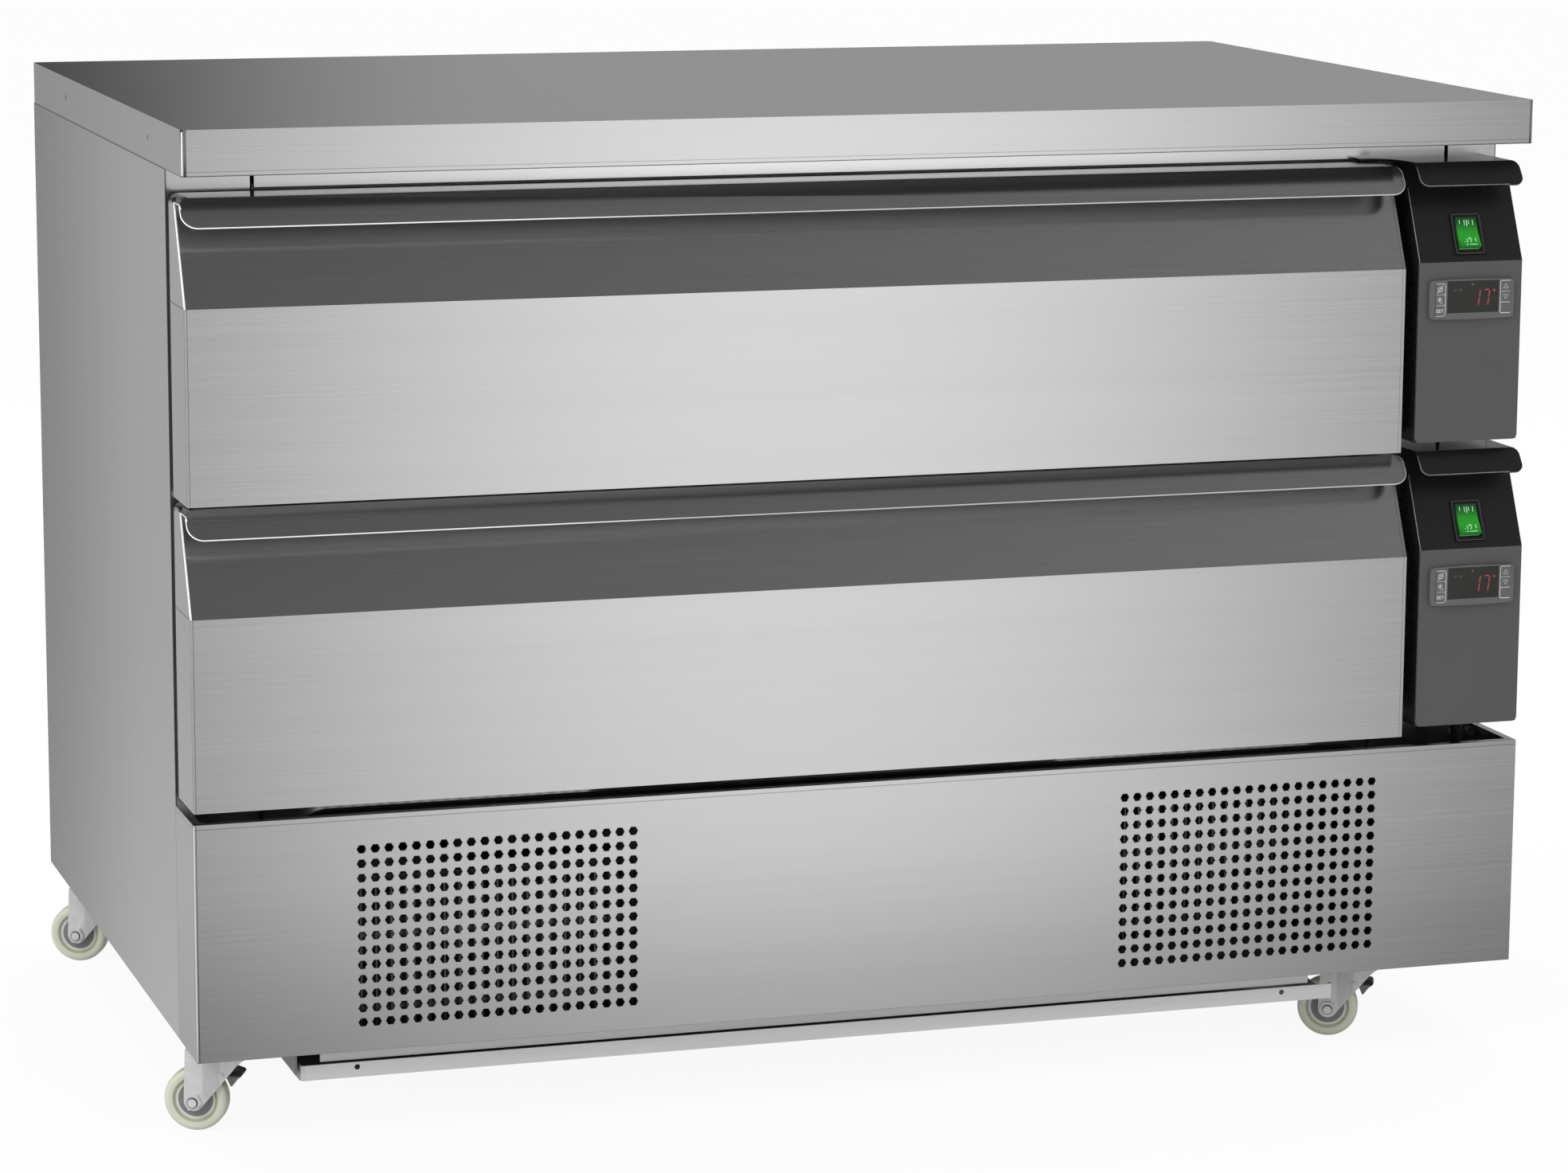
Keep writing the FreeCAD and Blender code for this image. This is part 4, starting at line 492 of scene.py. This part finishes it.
aluminium, fins = finish("coil_aluminium")
at = fins.place()[0]
ripple = fins.noise(at, (900, 60, 40), 2)
dusty = fins.noise(at, (22, 22, 22), 4, 0.6)
fins.dress(Base_Color=fins.mix(dusty, tone(168, 169, 168), tone(216, 217, 217)), Metallic=1.0,
           Roughness=0.34 + 0.2 * dusty, Normal=fins.bump(ripple, 0.00003))
wear("condensers evaporators", aluminium)
enamel = moulded("black_enamel", tone(20), tone(30), 0.26, 500, 0.00004)
wear("fan_shrouds compressors", enamel)
wear("fan_rotor_left fan_rotor_right", moulded("fan_plastic", tone(52, 53, 55), tone(64, 65, 67), 0.4))


# Base front: one sheet of brushed stainless with two punched grilles, hemmed at the top and turned in at
# the foot, and the screws that hold its top edge.

def brushed(name, along, dark=tone(208), light=tone(226), marks=None):
    """Brushed sheet: streaks from noise stretched along one axis, fine ones in the height and broad ones
    in the colour. A marks function of the tree and x, y, z may darken places by a share of 0 to 1."""
    material, steel = finish(name)
    at, x, y, z = steel.place()
    fine = [3.0 if axis == along else 900.0 for axis in range(3)]
    broad = [0.8 if axis == along else 70.0 for axis in range(3)]
    streak = steel.noise(at, fine, 1)
    sweep = steel.noise(at, broad, 1)
    cloud = steel.noise(at, (2.2, 2.2, 2.2), 1)
    share = 0.5 + 0.8 * (streak - 0.5) + 0.3 * (sweep - 0.5) + 0.3 * (cloud - 0.5)
    colour = steel.mix(share, dark, light)
    if marks:
        colour = steel.mix(marks(steel, x, y, z), colour, tone(60))
    steel.dress(Base_Color=colour, Metallic=1.0, Normal=steel.bump(streak, 0.00001, 0.4),
                Roughness=0.19 + 0.05 * (streak - 0.5) + 0.03 * (cloud - 0.5))
    return material


base_low, base_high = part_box("base_front_panel")


def base_shade_marks(steel, x, y, z):
    """Painted reflection and shade: the foot of the panel is darkened like a reflection of the shaded floor
    near it, and painted shade lines run along the folds just inside its left end and its top hem, and where
    the end is bent back."""
    foot = 0.27 * (1 - steel.step(z, base_low.z - 0.02, base_low.z + 0.16))
    fold = 0.8 * steel.band(x, base_low.x + 0.0018, base_low.x + 0.0021, 0.0002)
    turn = 0.5 * steel.band(y, base_low.y + 0.0036, base_low.y + 0.0050, 0.0004)
    hem = 0.35 * steel.band(z, base_high.z - 0.0042, base_high.z - 0.0036, 0.0003)
    return foot + fold + turn + hem


wear("base_front_panel", brushed("base_steel", 0, marks=base_shade_marks))
# A pale bead down the base panel's front-left corner: a painted highlight on its rounded edge.
corner_inset, corner_bead, corner_ends = 0.0004, 0.0005, 0.001
base_corner = np.array((base_low.x + corner_inset, base_low.y + corner_inset, 0))
base_line = np.linspace(base_corner + (0, 0, base_low.z + corner_ends),
                        base_corner + (0, 0, base_high.z - corner_ends), 8)
built("base_corner", [swept(base_line, circle(corner_bead), (1, 0, 0))],
      plated("corner_highlight_steel", tone(222), tone(240), 300, 0.4, metal=0.3), "cabinet")
soften("base_front_panel", 0.00035, 1)
wear("face_screws", plated("screw_steel", tone(178), tone(214), 300, 0.25))


# Cabinet shell: stainless side and back panels, face stiles and rails, folded from sheet and spot welded,
# round a galvanised liner whose space is filled with foam.

side_low, side_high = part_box("left_side_panel")


def side_shade_marks(steel, x, y, z):
    """Painted shade: the panels darken toward the back, and a thin painted shade line runs where the base
    front laps their front edge.
    """
    seam = 0.4 * (1 - steel.step(y, side_low.y + 0.0005, side_low.y + 0.0010))
    return seam + 0.74 * steel.step(y, side_low.y + 0.02, side_high.y + 0.10)


wear("left_side_panel right_side_panel", brushed("side_steel", 2, marks=side_shade_marks))
wear("back_panel", brushed("back_steel", 0))
# The stiles and rails are a lighter copy of the brushed steel: a painted highlight for the bright band they
# mirror.
wear("face_stiles face_rails", brushed("face_highlight_steel", 0, tone(228), tone(245)))
soften("left_side_panel right_side_panel", 0.0005)


# Cold parts: white moulded lids and tubs filled with foam, a dark rubber gasket round each lid, and the
# zinc-plated three-piece runners that carry the drawers.

liner = moulded("liner_plastic", tone(226, 228, 228), tone(236, 238, 238), 0.34, 700, 0.00003)
wear("insulated_lids drawer_tub_upper drawer_tub_lower", liner)
soften("insulated_lids", 0.002, 3)
wear("lid_seals", moulded("seal_rubber", tone(44, 44, 46), tone(60, 60, 62), 0.62, 900, 0.00005))
wear("runner_outer_members runner_middle_upper runner_middle_lower drawer_rails_upper drawer_rails_lower",
     plated("runner_zinc", tone(180, 182, 184), tone(214, 216, 218), 200, 0.22))


# Drawer fronts: brushed stainless folded at the top into a sloping ramp and a hooked pull lip, over foam.

lip_fall, lip_run, lip_corner, bend_fall = 0.0207, 0.016, 0.012, 0.0815
lip_plate, rim_bead, ramp_bead, link_bead = 0.0015, 0.00066, 0.0008, 0.0005
gasket_inset, gasket_wide, gasket_deep, gasket_seat = 0.003, 0.0050, 0.0117, 0.0060
lip_length = math.hypot(lip_fall, lip_run)
lip_down = np.array((0, -lip_run, -lip_fall)) / lip_length
lip_inward = np.array((0, lip_fall, -lip_run)) / lip_length
rubber = moulded("gasket_rubber", tone(16), tone(24), 0.6, 900, 0.00004)


def highlight_edge_steel(name, low_x, high_x):
    """A painted highlight for a sheet edge: pale and half matt, made greyer over the right-hand part of the
    span from low_x to high_x."""
    material, steel = finish(name)
    at, x, y, z = steel.place()
    nick = steel.noise(at, (400, 400, 400), 2)
    bright = steel.mix(nick, tone(246), tone(255))
    painted_light = steel.mix(nick, tone(196), tone(212))
    share = steel.step(x, low_x + 0.26 * (high_x - low_x), low_x + 0.42 * (high_x - low_x))
    steel.dress(Base_Color=steel.mix(share, bright, painted_light), Metallic=0.1, Roughness=0.34 + 0.1 * nick,
                Normal=steel.bump(nick, 0.00001))
    return material


def edge_highlight_beads(low, high):
    """The painted highlights on a drawer front's edges, as fine pale beads: round the lip, down the left
    side of the ramp, and the short link between them."""
    wide, top, bend = high.x - low.x, high.z, high.z - bend_fall
    rim = rounded([(0, 0.0072), (0, lip_length), (wide, lip_length), (wide, 0.0075)], lip_corner)
    right_end = rounded([(wide, 0.0120), (wide, 0.0004), (wide - 0.012, 0.0004)], 0.0068)
    rim = np.vstack([rim[:-1], right_end[1:]])
    start = np.array((low.x, low.y + lip_run, top)) + lip_plate / 2 * lip_inward
    lip_rim = swept(laid(rim, start, (1, 0, 0), lip_down), circle(rim_bead), lip_inward)
    ramp_top = np.array((low.x + 0.0004, low.y + 0.0356, top - 0.0050))
    ramp_foot = np.array((low.x + 0.0004, low.y + 0.0003, bend))
    ramp_edge = swept(np.linspace(ramp_top, ramp_foot, 12), circle(ramp_bead), (1, 0, 0))
    link = rounded([(0, 0), (0.0030, 0.0028), (0.0250, 0.0028)], 0.0020)[::-1]
    link_at = (low.x + 0.0003, low.y + lip_run - 0.0063, top - 0.0078)
    link = swept(laid(link, link_at, (0, 1, 0), (0, 0, 1)), circle(link_bead, 8), (1, 0, 0))
    return [lip_rim, ramp_edge, link]


def gasket_ring(low, high):
    """The flat rubber ring round the back of a drawer front."""
    last_x, last_z = high.x - low.x - gasket_inset, high.z - low.z - gasket_inset
    around = rounded([(gasket_inset, gasket_inset), (last_x, gasket_inset), (last_x, last_z),
                      (gasket_inset, last_z)], 0.004, loop=True)
    seat = (low.x, high.y + gasket_seat, high.z)
    return [swept(laid(around, seat, (1, 0, 0), (0, 0, -1)), slab(gasket_wide, gasket_deep), (0, 1, 0),
                  loop=True)]


for unit in ("upper", "lower"):
    low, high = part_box("drawer_front_" + unit)

    def front_shade_marks(steel, x, y, z, low=low, high=high):
        """Painted shade: lines just inside both upright edges and along the ends at the bend where the sheet
        folds, and a painted shadow on the back of the lip."""
        bend = high.z - bend_fall
        under_bend = 1 - steel.step(z, bend, bend + 0.0002)
        left_end = 1 - steel.step(x, low.x + 0.0002, low.x + 0.0004)
        left_fold = steel.band(x, low.x + 0.0016, low.x + 0.0020, 0.0002) * under_bend
        right_fold = steel.band(x, high.x - 0.0028, high.x - 0.0024, 0.0003)
        end_line = left_end * steel.band(z, bend - 0.0004, bend + 0.0004, 0.0003)
        end_fold = steel.band(y, low.y + 0.0016, low.y + 0.0034, 0.0005) * under_bend
        # The strip just behind the lip is darkened: painted shadow cast by the lip.
        behind = (y - low.y - lip_run) * (lip_fall / lip_length) + (high.z - z) * (lip_run / lip_length)
        lip_shadow = steel.band(behind, 0.0006, 0.0060, 0.0002)
        lip_shadow = lip_shadow * steel.step(z, high.z - 0.0240, high.z - 0.0210)
        return 0.55 * left_fold + 0.3 * right_fold + 0.8 * end_line + 0.4 * end_fold + 0.34 * lip_shadow

    wear("drawer_front_" + unit, brushed("front_steel_" + unit, 0, marks=front_shade_marks))
    soften("drawer_front_" + unit, 0.0006, 3)
    # Pale beads on the lip and ramp edges: painted highlights.
    bright = highlight_edge_steel("highlight_edge_steel_" + unit, low.x, high.x)
    built("drawer_edges_" + unit, edge_highlight_beads(low, high), bright, unit + "_drawer")
    built("drawer_gasket_" + unit, gasket_ring(low, high), rubber, unit + "_drawer", smooth=False)


# Wiring: the black loom in the gap above the base panel and the ribbed conduit down to the floor.

wear("wiring_loom conduit", moulded("cable_sheath", tone(22), tone(34), 0.42, 800, 0.00003))


# Control housings: black moulded boxes with a sloping head and a hooked lip like the drawers', a grey
# front plate, a thermostat and a lit rocker switch in each.

soften("control_housing_upper control_housing_lower", 0.0007, 3)
wear("control_plates", moulded("plate_plastic", tone(80), tone(86), 0.4, 1100))
soften("control_plates", 0.0004, 2)
wear("thermostats", moulded("bezel_plastic", tone(90, 91, 92), tone(98, 99, 100), 0.34, 900))
soften("thermostats", 0.0004, 2)
keys = ("power", "defrost", "set", "up", "down")
wear(" ".join("key_%s_%s" % (unit, key) for unit in ("upper", "lower") for key in keys),
     moulded("key_plastic", tone(92, 93, 94), tone(99, 100, 101), 0.4, 900))
wear("thermostat_windows", moulded("dark_window", tone(36, 36, 33), tone(42, 42, 39), 0.14, 60, 0.00001))
wear("switch_bezels", moulded("switch_black", tone(20), tone(27), 0.3, 900))
soften("switch_bezels", 0.0005, 2)
print_thick, panel_stroke, key_stroke = 0.0002, 0.00052, 0.00046
digit_stroke, icon_stroke, dot_stroke, frame_stroke, rocker_stroke = 0.0010, 0.0004, 0.0009, 0.00035, 0.0005
pale_print = moulded("pale_print", tone(206), tone(218), 0.5, 900, 0.00001)
# Pale plastic for the beads on the housings' edges: painted highlights.
highlight_plastic = moulded("highlight_plastic", tone(120), tone(150), 0.3, 900, 0.00001)
bezel_line = moulded("bezel_line", tone(84), tone(100), 0.3, 900, 0.00001)


def glowing(name, dark, light, strength):
    """A lit plastic: two close colours in fine noise, and the same colours given off."""
    material, lit = finish(name)
    at = lit.place()[0]
    colour = lit.mix(lit.noise(at, (700, 700, 700), 1), dark, light)
    lit.dress(Base_Color=colour, Roughness=0.4, Emission_Color=colour, Emission_Strength=strength)
    return material


digit_red = glowing("digit_red", tone(140, 50, 52), tone(160, 60, 60), 0.35)
icon_green = glowing("icon_green", tone(66, 74, 54), tone(76, 84, 62), 0.2)
rocker_print = glowing("rocker_print", tone(150, 220, 150), tone(170, 235, 170), 0.5)


def strokes(lines, start, wide, along=(1, 0, 0), down=(0, 0, -1), rise=(0, -1, 0)):
    """Raised flat lines of a width in metres, from flat paths in millimetres that go along and down from
    a start; a path that ends where it starts is closed."""
    made = []
    for line in lines:
        line = np.asarray(line, float)
        loop = bool(np.allclose(line[0], line[-1]))
        path = laid((line[:-1] if loop else line) / 1000, start, along, down)
        made.append(swept(path, slab(wide, print_thick), rise, loop))
    return made


def ring(middle_u, middle_v, radius, first=0.0, last=2 * math.pi, steps=14):
    """Points round a circle, from the first angle to the last, counted from straight right and downward."""
    turn = np.linspace(first, last, steps)
    return np.stack([middle_u + radius * np.cos(turn), middle_v + radius * np.sin(turn)], 1)


def star(middle_u, middle_v, radius):
    """Three lines through a point."""
    turns = (math.pi / 2, math.pi / 6, -math.pi / 6)
    return [[(middle_u - radius * math.cos(t), middle_v - radius * math.sin(t)),
             (middle_u + radius * math.cos(t), middle_v + radius * math.sin(t))] for t in turns]


def leaning(foot_u, *spans):
    """Upright bars of the display's digits, one a span from v to v, that lean to the right going up."""
    return [[(foot_u + digit_slant * (digit_foot - v), v) for v in span] for span in spans]


key_marks = {
    "power": [ring(4, 4, 1.9, -1.0, 4.14), [(4, 1.2), (4, 3.8)], [(1.5, 6.9), (6.5, 1.1)]],
    "defrost": star(3.6, 3.6, 2.1) + [[(5.9, 5.4), (5.9, 6.4)], [(4.8, 6.0), (4.8, 7.0)]],
    "set": [[(2.6, 2.9), (1.0, 2.9), (1.0, 4.0), (2.6, 4.0), (2.6, 5.2), (1.0, 5.2)],
            [(4.9, 2.9), (3.4, 2.9), (3.4, 5.2), (4.9, 5.2)], [(3.4, 4.0), (4.7, 4.0)],
            [(5.5, 2.9), (7.1, 2.9)], [(6.3, 2.9), (6.3, 5.3)]],
    "up": [[(2.1, 5.7), (4.0, 2.3), (5.9, 5.7), (2.1, 5.7)]],
    "down": [[(2.1, 2.3), (4.0, 5.7), (5.9, 2.3), (2.1, 2.3)]],
}
ramp_lean = math.atan(0.038 / bend_fall)
ramp_up = np.array((0, math.sin(ramp_lean), math.cos(ramp_lean)))
ramp_out = np.array((0, -math.cos(ramp_lean), math.sin(ramp_lean)))
housing_lip_run, housing_lip_fall, housing_wide, housing_bend_fall = 0.0139, 0.018, 0.0905, 0.0795
housing_corner, lip_line_short, ramp_line_long = 0.0068, 0.013, 0.064
switch_rise, switch_proud = 0.023, 0.0021
panel_inset, panel_proud, panel_fall, panel_half = 0.0085, 0.0035, 0.030, 0.01625
lower_step = 0.004
panel_left, panel_right = (5.2, 13.3), (61.9, 70.6)
panel_rows_left, panel_rows_right = (11.95, 20.65), (10.75, 19.45)
digit_slant, digit_foot = 0.12, 14
housing_lip = math.hypot(housing_lip_run, housing_lip_fall)
housing_lip_down = np.array((0, -housing_lip_run, -housing_lip_fall)) / housing_lip
housing_lip_out = np.array((0, -housing_lip_fall, housing_lip_run)) / housing_lip


def housing_plastic(unit, top):
    """Smooth black plastic; the plate on top gets a painted reflection, and a painted shadow where it meets
    the face.
    """
    material, resin = finish("housing_plastic_" + unit)
    at, x, y, z = resin.place()
    flat = resin.step(z, top - 0.0004, top - 0.0001)
    skin = resin.mix(resin.noise(at, (18, 18, 18), 3), tone(25), tone(31))
    # The top plate's lighter grey is a painted reflection of its grazing sheen; the dark strip by the face
    # is a painted shadow.
    painted_light = resin.mix(resin.noise(at, (30, 500, 30), 3), tone(62), tone(76))
    wall_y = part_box("face_rails")[0].y
    painted_light = resin.mix(resin.step(y, wall_y - 0.0030, wall_y - 0.0018), painted_light, tone(12))
    smear = 0.14 * resin.noise(at, (60, 60, 200), 3)
    resin.dress(Base_Color=resin.mix(flat, skin, painted_light), Metallic=0.10 * flat,
                Roughness=0.20 + smear * (1 - flat),
                Normal=resin.bump(resin.noise(at, (900, 900, 900), 1), 0.00002))
    return material


def housing_edge_highlights(left, front, top, bend):
    """Painted highlights on the edges of a housing, as fine pale beads: round its lip, and down the left
    side of its ramp.
    """
    line_low = housing_lip - 0.0003
    corner = rounded([(0.0003, 0.004), (0.0003, line_low), (housing_wide - lip_line_short, line_low)],
                     housing_corner)
    lip_line = swept(laid(corner, (left, front + housing_lip_run, top), (1, 0, 0), housing_lip_down),
                     circle(0.00035, 8), housing_lip_out)
    foot = np.array((left + 0.0002, front + 0.0001, bend))
    ramp_line = swept(np.linspace(foot + ramp_line_long * ramp_up, foot, 8), circle(0.0004, 8), (1, 0, 0))
    return [lip_line, ramp_line]


def switch_frame(left, front, bend):
    """The line moulded round a rocker switch, on the ramp."""
    seat = np.array((left + housing_wide / 2, front, bend)) + switch_rise * ramp_up + switch_proud * ramp_out
    frame_line = rounded([(-12.3, -16.6), (12.3, -16.6), (12.3, 16.6), (-12.3, 16.6)], 1.6, loop=True)
    frame_line = np.vstack([frame_line, frame_line[:1]])
    return strokes([frame_line], seat, frame_stroke, down=-ramp_up, rise=ramp_out)


def key_fields(panel):
    """The frames printed round the keys left and right of the display, with lines that part the keys."""
    (u0, u1), (u2, u3) = panel_left, panel_right
    left_field = np.vstack([[(u0, 3.2)], rounded([(u0, 3.2), (u1, 3.2), (u1, 29.3), (u0, 29.3)], 1.8)[1:]])
    right_field = rounded([(u3, 2.0), (u2, 2.0), (u2, 28.2), (u3, 28.2)], 1.2)
    fields = [left_field, right_field] + [[(u0, v), (u1, v)] for v in panel_rows_left]
    fields += [[(u2, v), (u3, v)] for v in panel_rows_right]
    return strokes(fields, panel, panel_stroke)


def display_digits(glass):
    """Two red digits of seven bars each and their degree sign: only the lit bars."""
    digits = leaning(43.4, (9.0, 14.4), (15.2, 21.2))
    digits += [[(47.3 + digit_slant * 5, 8.8), (50.9 + digit_slant * 5, 8.8)]]
    digits += leaning(51.7, (9.4, 14.4), (15.2, 21.2))
    digits += [ring(56.2, 9.6, 0.5)]
    return strokes(digits, glass, digit_stroke)


def lens_halves(unit):
    """The two flat halves of a rocker's lens, the upper one first: middle, way out and way down of each."""
    rocker = nodes["rocker_" + unit]
    corners = np.array([tuple(vertex.co) for vertex in rocker.data.vertices])
    rocker.data.calc_loop_triangles()
    facets = corners[np.array([tuple(facet.vertices) for facet in rocker.data.loop_triangles])]
    normals = np.cross(facets[:, 1] - facets[:, 0], facets[:, 2] - facets[:, 0])
    area = np.linalg.norm(normals, axis=1)
    normals /= area[:, None]
    area = np.where(normals[:, 1] < -0.5, area, 0)
    halves = []
    for half in range(2):
        best = normals[np.argmax(area)]
        same = (normals @ best > 0.999) & (area > 0)
        lens = facets[same].reshape(-1, 3)
        halves.append(((lens.min(0) + lens.max(0)) / 2, best, np.cross((1, 0, 0), best)))
        area = np.where(same, 0, area)
    return sorted(halves, key=lambda half: -half[0][2])


def rocker_green(unit):
    """Green lens plastic lit from inside: dark on top, brightest at its middle, a pale line at its foot."""
    low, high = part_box("rocker_" + unit)
    material, lit = finish("rocker_green_" + unit)
    at, x, y, z = lit.place()
    fall = (high.z - z) / (high.z - low.z)
    tall = lit.mix(lit.step(fall, 0.05, 0.55), tone(20, 68, 32), tone(34, 140, 36))
    lens = lit.mix(lit.step(fall, 0.60, 0.92), tall, tone(30, 104, 36))
    lens = lit.mix(lit.step(fall, 0.93, 0.97), lens, tone(110, 190, 110))
    grit = lit.noise(at, (900, 900, 900), 2)
    lens = lit.mix(0.25 * grit, lens, tone(20, 60, 28))
    lit.dress(Base_Color=lens, Roughness=0.22, Emission_Color=lens, Emission_Strength=0.40,
              Normal=lit.bump(grit, 0.00001))
    return material


def rocker_marks(unit):
    """The pale print on a rocker: bars on the upper half of its lens, signs on the lower half."""
    bars = [[(u, -4.4), (u, -4.4 + run)]
            for u, run in ((-6.0, 3.2), (-1.8, 4.4), (0.2, 5.2), (2.0, 3.6), (5.6, 4.4))]
    signs = [[(-2.4, -1.0), (-2.4, 2.4)],
             [(0.2, -0.4), (-0.6, -1.2), (0.2, -2.2), (1.2, -1.2), (1.2, 1.0), (0, 2.4)],
             [(5.2, -1.6), (5.2, 1.8)], [(-4.6, 1.6), (-4.6, 2.4)],
             [(-4.2, 4.4), (-2.0, 4.4)], [(-0.8, 4.4), (5.8, 4.4)]]
    printed = []
    for (lens_middle, lens_out, lens_down), marks in zip(lens_halves(unit), (bars, signs)):
        seat = lens_middle + 0.00002 * lens_out
        printed += strokes(marks, seat, rocker_stroke, down=lens_down, rise=lens_out)
    return printed


for unit, forward in (("upper", 0.0), ("lower", lower_step)):
    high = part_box("control_housing_" + unit)[1]
    left, top = high.x - housing_wide, high.z
    front = base_low.y + lower_step - forward
    bend = top - housing_bend_fall
    wear("control_housing_" + unit, housing_plastic(unit, top))
    built("housing_edges_" + unit, housing_edge_highlights(left, front, top, bend), highlight_plastic, "cabinet")
    built("switch_lines_" + unit, switch_frame(left, front, bend), bezel_line, "cabinet", smooth=False)
    panel = np.array((left + panel_inset, front - panel_proud, bend - panel_fall + panel_half))
    built("panel_print_" + unit, key_fields(panel), pale_print, "cabinet", smooth=False)
    for key in keys:
        key_low, key_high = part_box("key_%s_%s" % (unit, key))
        marked = strokes(key_marks[key], (key_low.x, key_low.y, key_high.z), key_stroke)
        built("mark_%s_%s" % (unit, key), marked, pale_print, "%s_%s_key" % (unit, key), smooth=False)
    glass_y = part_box("thermostat_windows")[0].y + lower_step - forward
    glass = np.array((left + panel_inset, glass_y, panel[2]))
    built("digits_" + unit, display_digits(glass), digit_red, "cabinet", smooth=False)
    icons = star(22.0, 8.7, 1.3) + [ring(26.3, 8.7, 1.1), [(26.3, 7.6), (26.3, 9.8)]]
    built("icons_" + unit, strokes(icons, glass, icon_stroke), icon_green, "cabinet", smooth=False)
    dot = strokes([ring(37.0, 4.4, 0.45)], glass, dot_stroke)
    built("window_dot_" + unit, dot, bezel_line, "cabinet", smooth=False)
    wear("rocker_" + unit, rocker_green(unit))
    built("rocker_print_" + unit, rocker_marks(unit), rocker_print, unit + "_rocker", smooth=False)


# Worktop: one folded stainless slab with a turned-down front edge, spot welded to the cabinet, with a
# painted shade line above its lower edge and a painted highlight bead down its front corner.

top_low, top_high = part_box("worktop")


def top_shade_marks(steel, x, y, z):
    """Painted shade: thin lines above the foot of the front edge, inside its right end and along its top
    bend, a dark under edge, and a left side that darkens toward the back."""
    front = 1 - steel.step(y, top_low.y + 0.0002, top_low.y + 0.0012)
    foot = 0.35 * front * steel.band(z, top_low.z + 0.0034, top_low.z + 0.0037, 0.0003)
    end = 0.30 * front * steel.band(x, top_high.x - 0.0026, top_high.x - 0.0023, 0.0003)
    lower_edge = 0.8 * (1 - steel.step(z, top_low.z + 0.0005, top_low.z + 0.0009))
    side = 1 - steel.step(x, top_low.x + 0.0003, top_low.x + 0.0012)
    side = side * (0.12 + 0.34 * steel.step(y, top_low.y, top_high.y))
    side = side * (1 - steel.step(z, top_high.z - 0.0008, top_high.z - 0.0002))
    bend = 0.5 * steel.band(y, top_low.y + 0.0007, top_low.y + 0.0012, 0.0004)
    bend = bend * steel.step(z, top_high.z - 0.0016, top_high.z - 0.0010)
    return foot + end + lower_edge + side + bend


wear("worktop", brushed("worktop_steel", 0, marks=top_shade_marks))
soften("worktop", 0.0012, 3)
# A pale bead down the front-left corner, bright over its whole length: a painted highlight.
top_inset, top_bead = 0.0008, 0.0006
bright_all_over = (1.0, 2.0)
corner_at = np.array((top_low.x + top_inset, top_low.y + top_inset, 0))
corner_line = np.linspace(corner_at + (0, 0, top_low.z + 0.001), corner_at + (0, 0, top_high.z - 0.0015), 6)
built("worktop_corner", [swept(corner_line, circle(top_bead), (1, 0, 0))],
      highlight_edge_steel("worktop_edge_steel", *bright_all_over), "cabinet")
